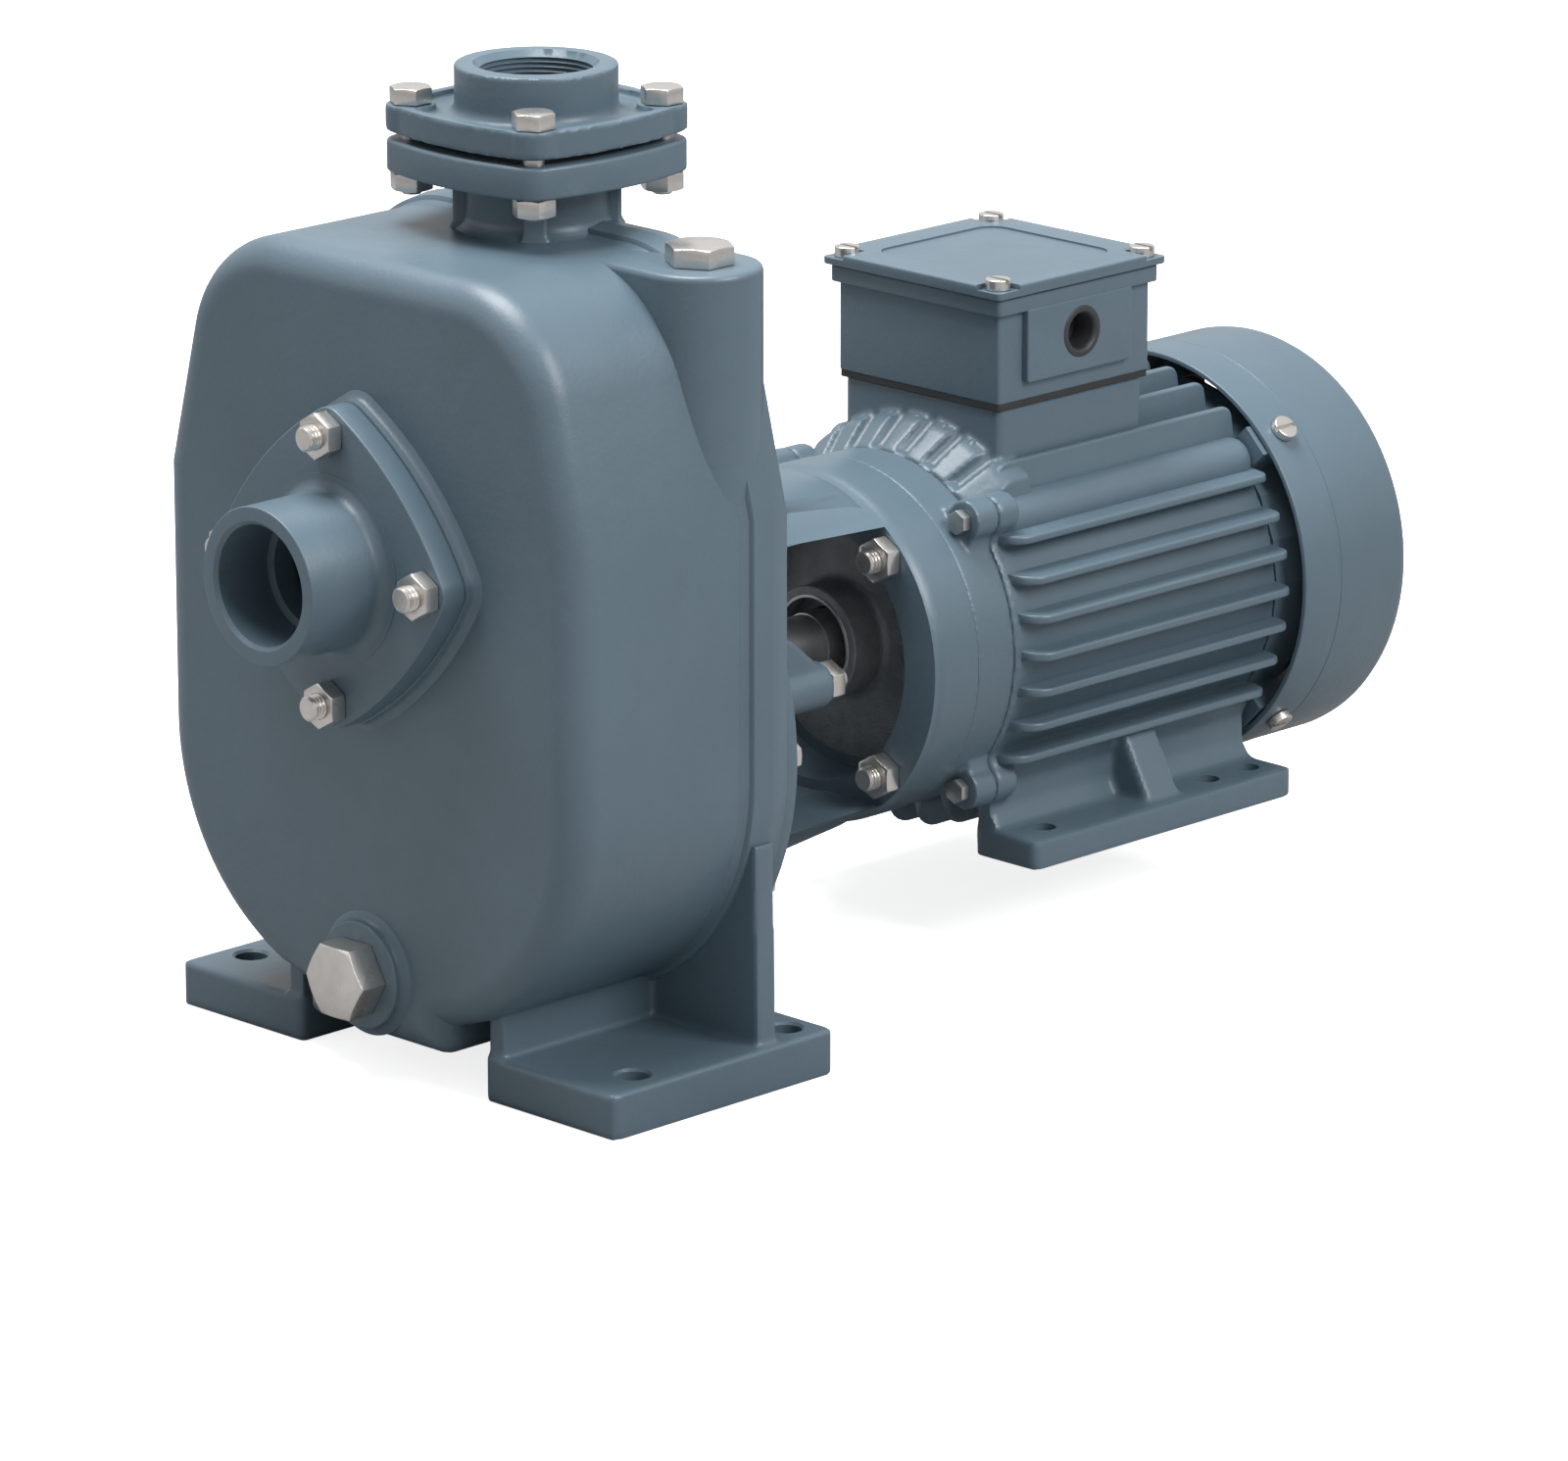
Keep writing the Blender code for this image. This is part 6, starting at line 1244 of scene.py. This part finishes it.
class PumpSizes(bpy.types.PropertyGroup):
    foot_grain: length_setting("Foot skin", "Grid on which the pump feet are cast", 0.0013)
    frame_grain: length_setting("Frame skin", "Grid on which the motor frame is cast", 0.0018)
    cast_passes: bpy.props.IntProperty(name="Casting softness", default=2, min=0, max=12,
                                       description="How far the feet's edges are rounded")


class PumpLight(bpy.types.PropertyGroup):
    key_power: power_setting("Key lamp", "Power of the lamp at the right", 72.0)
    top_power: power_setting("Top lamp", "Power of the lamp above and in front", 120.0)
    fill_power: power_setting("Fill lamp", "Power of the lamp at the front left", 7.0)
    world_level: bpy.props.FloatProperty(name="Room light", description="Strength of the even light",
                                         default=0.36, min=0.0, max=2.0, subtype="FACTOR")


class PumpStep:
    """What all steps share."""
    bl_options = {"REGISTER", "UNDO"}


class MakeStage(PumpStep, bpy.types.Operator):
    """White floor, soft lamps and the camera at the photograph's angle"""
    bl_idname = "pump.stage"
    bl_label = "Studio stage"

    def execute(self, context):
        make_stage()
        return {"FINISHED"}


class DressNodes(PumpStep, bpy.types.Operator):
    """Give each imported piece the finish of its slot"""
    bl_idname = "pump.nodes"
    bl_label = "Packed pieces"

    def execute(self, context):
        dress_frame_nodes()
        return {"FINISHED"}


class MakeCasing(PumpStep, bpy.types.Operator):
    """Cast the self-priming casing with its neck, column, pads and feet"""
    bl_idname = "pump.casing"
    bl_label = "Pump casing"

    def execute(self, context):
        make_casing()
        return {"FINISHED"}


class MakeDischarge(PumpStep, bpy.types.Operator):
    """Pocketed flange with its threaded boss and four bolts"""
    bl_idname = "pump.discharge"
    bl_label = "Discharge flange"

    def execute(self, context):
        make_discharge()
        return {"FINISHED"}


class MakeSuction(PumpStep, bpy.types.Operator):
    """Diamond flange with its bored nozzle and four nuts"""
    bl_idname = "pump.suction"
    bl_label = "Suction nozzle"

    def execute(self, context):
        make_suction()
        return {"FINISHED"}


class MakePlugs(PumpStep, bpy.types.Operator):
    """Hexagon plugs of the priming column and the drain boss"""
    bl_idname = "pump.plugs"
    bl_label = "Plugs"

    def execute(self, context):
        make_plugs()
        return {"FINISHED"}


class MakeSealHousing(PumpStep, bpy.types.Operator):
    """Seal neck with its webbed lugs and their nuts"""
    bl_idname = "pump.seal_housing"
    bl_label = "Seal housing"

    def execute(self, context):
        make_seal_housing()
        return {"FINISHED"}


class MakeLantern(PumpStep, bpy.types.Operator):
    """Round plate, windowed barrel and motor flange with their nuts"""
    bl_idname = "pump.lantern"
    bl_label = "Lantern"

    def execute(self, context):
        make_lantern()
        return {"FINISHED"}


class MakeFrontShield(PumpStep, bpy.types.Operator):
    """Drive-end shield with its bolt ears and bolts"""
    bl_idname = "pump.front_shield"
    bl_label = "Front shield"

    def execute(self, context):
        make_front_shield()
        return {"FINISHED"}


class MakeMotorFrame(PumpStep, bpy.types.Operator):
    """Finned barrel with crown, pedestal, bolt lobes and feet"""
    bl_idname = "pump.motor_frame"
    bl_label = "Motor frame"

    def execute(self, context):
        make_motor_frame()
        return {"FINISHED"}


class MakeFanCover(PumpStep, bpy.types.Operator):
    """Drawn cover with its air slots and screws"""
    bl_idname = "pump.fan_cover"
    bl_label = "Fan cover"

    def execute(self, context):
        make_fan_cover()
        return {"FINISHED"}


class MakeTerminalBox(PumpStep, bpy.types.Operator):
    """Box, panelled lid, slotted screws and cable bush"""
    bl_idname = "pump.terminal_box"
    bl_label = "Terminal box"

    def execute(self, context):
        make_terminal_box()
        return {"FINISHED"}


class MakeShaft(PumpStep, bpy.types.Operator):
    """Turned shaft seen in the lantern's windows"""
    bl_idname = "pump.shaft"
    bl_label = "Shaft"

    def execute(self, context):
        make_shaft()
        return {"FINISHED"}


STEPS = (
    MakeStage, DressNodes, MakeCasing, MakeDischarge, MakeSuction,
    MakePlugs, MakeSealHousing, MakeLantern, MakeFrontShield, MakeMotorFrame,
    MakeFanCover, MakeTerminalBox, MakeShaft,
)


class PumpPanel(bpy.types.Panel):
    """Settings and steps of the pump"""
    bl_idname = "VIEW3D_PT_pump"
    bl_label = "Pump"
    bl_space_type = "VIEW_3D"
    bl_region_type = "UI"
    bl_category = "Pump"

    def draw(self, context):
        for group in SETTINGS:
            settings = getattr(context.scene, group)
            box = self.layout.box()
            for name in settings.bl_rna.properties.keys():
                if name not in ("rna_type", "name"):
                    box.prop(settings, name)
        for step in STEPS:
            self.layout.operator(step.bl_idname)


SETTINGS = {"pump_colours": PumpColours, "pump_sizes": PumpSizes, "pump_light": PumpLight}


def register():
    for item in (*SETTINGS.values(), *STEPS, PumpPanel):
        bpy.utils.register_class(item)
    for name, settings in SETTINGS.items():
        setattr(bpy.types.Scene, name, bpy.props.PointerProperty(type=settings))


def unregister():
    for name in SETTINGS:
        delattr(bpy.types.Scene, name)
    for item in (PumpPanel, *reversed(STEPS), *SETTINGS.values()):
        bpy.utils.unregister_class(item)


def main():
    register()
    for step in STEPS:
        group, word = step.bl_idname.split(".")
        getattr(getattr(bpy.ops, group), word)()


if __name__ == "__main__":
    main()
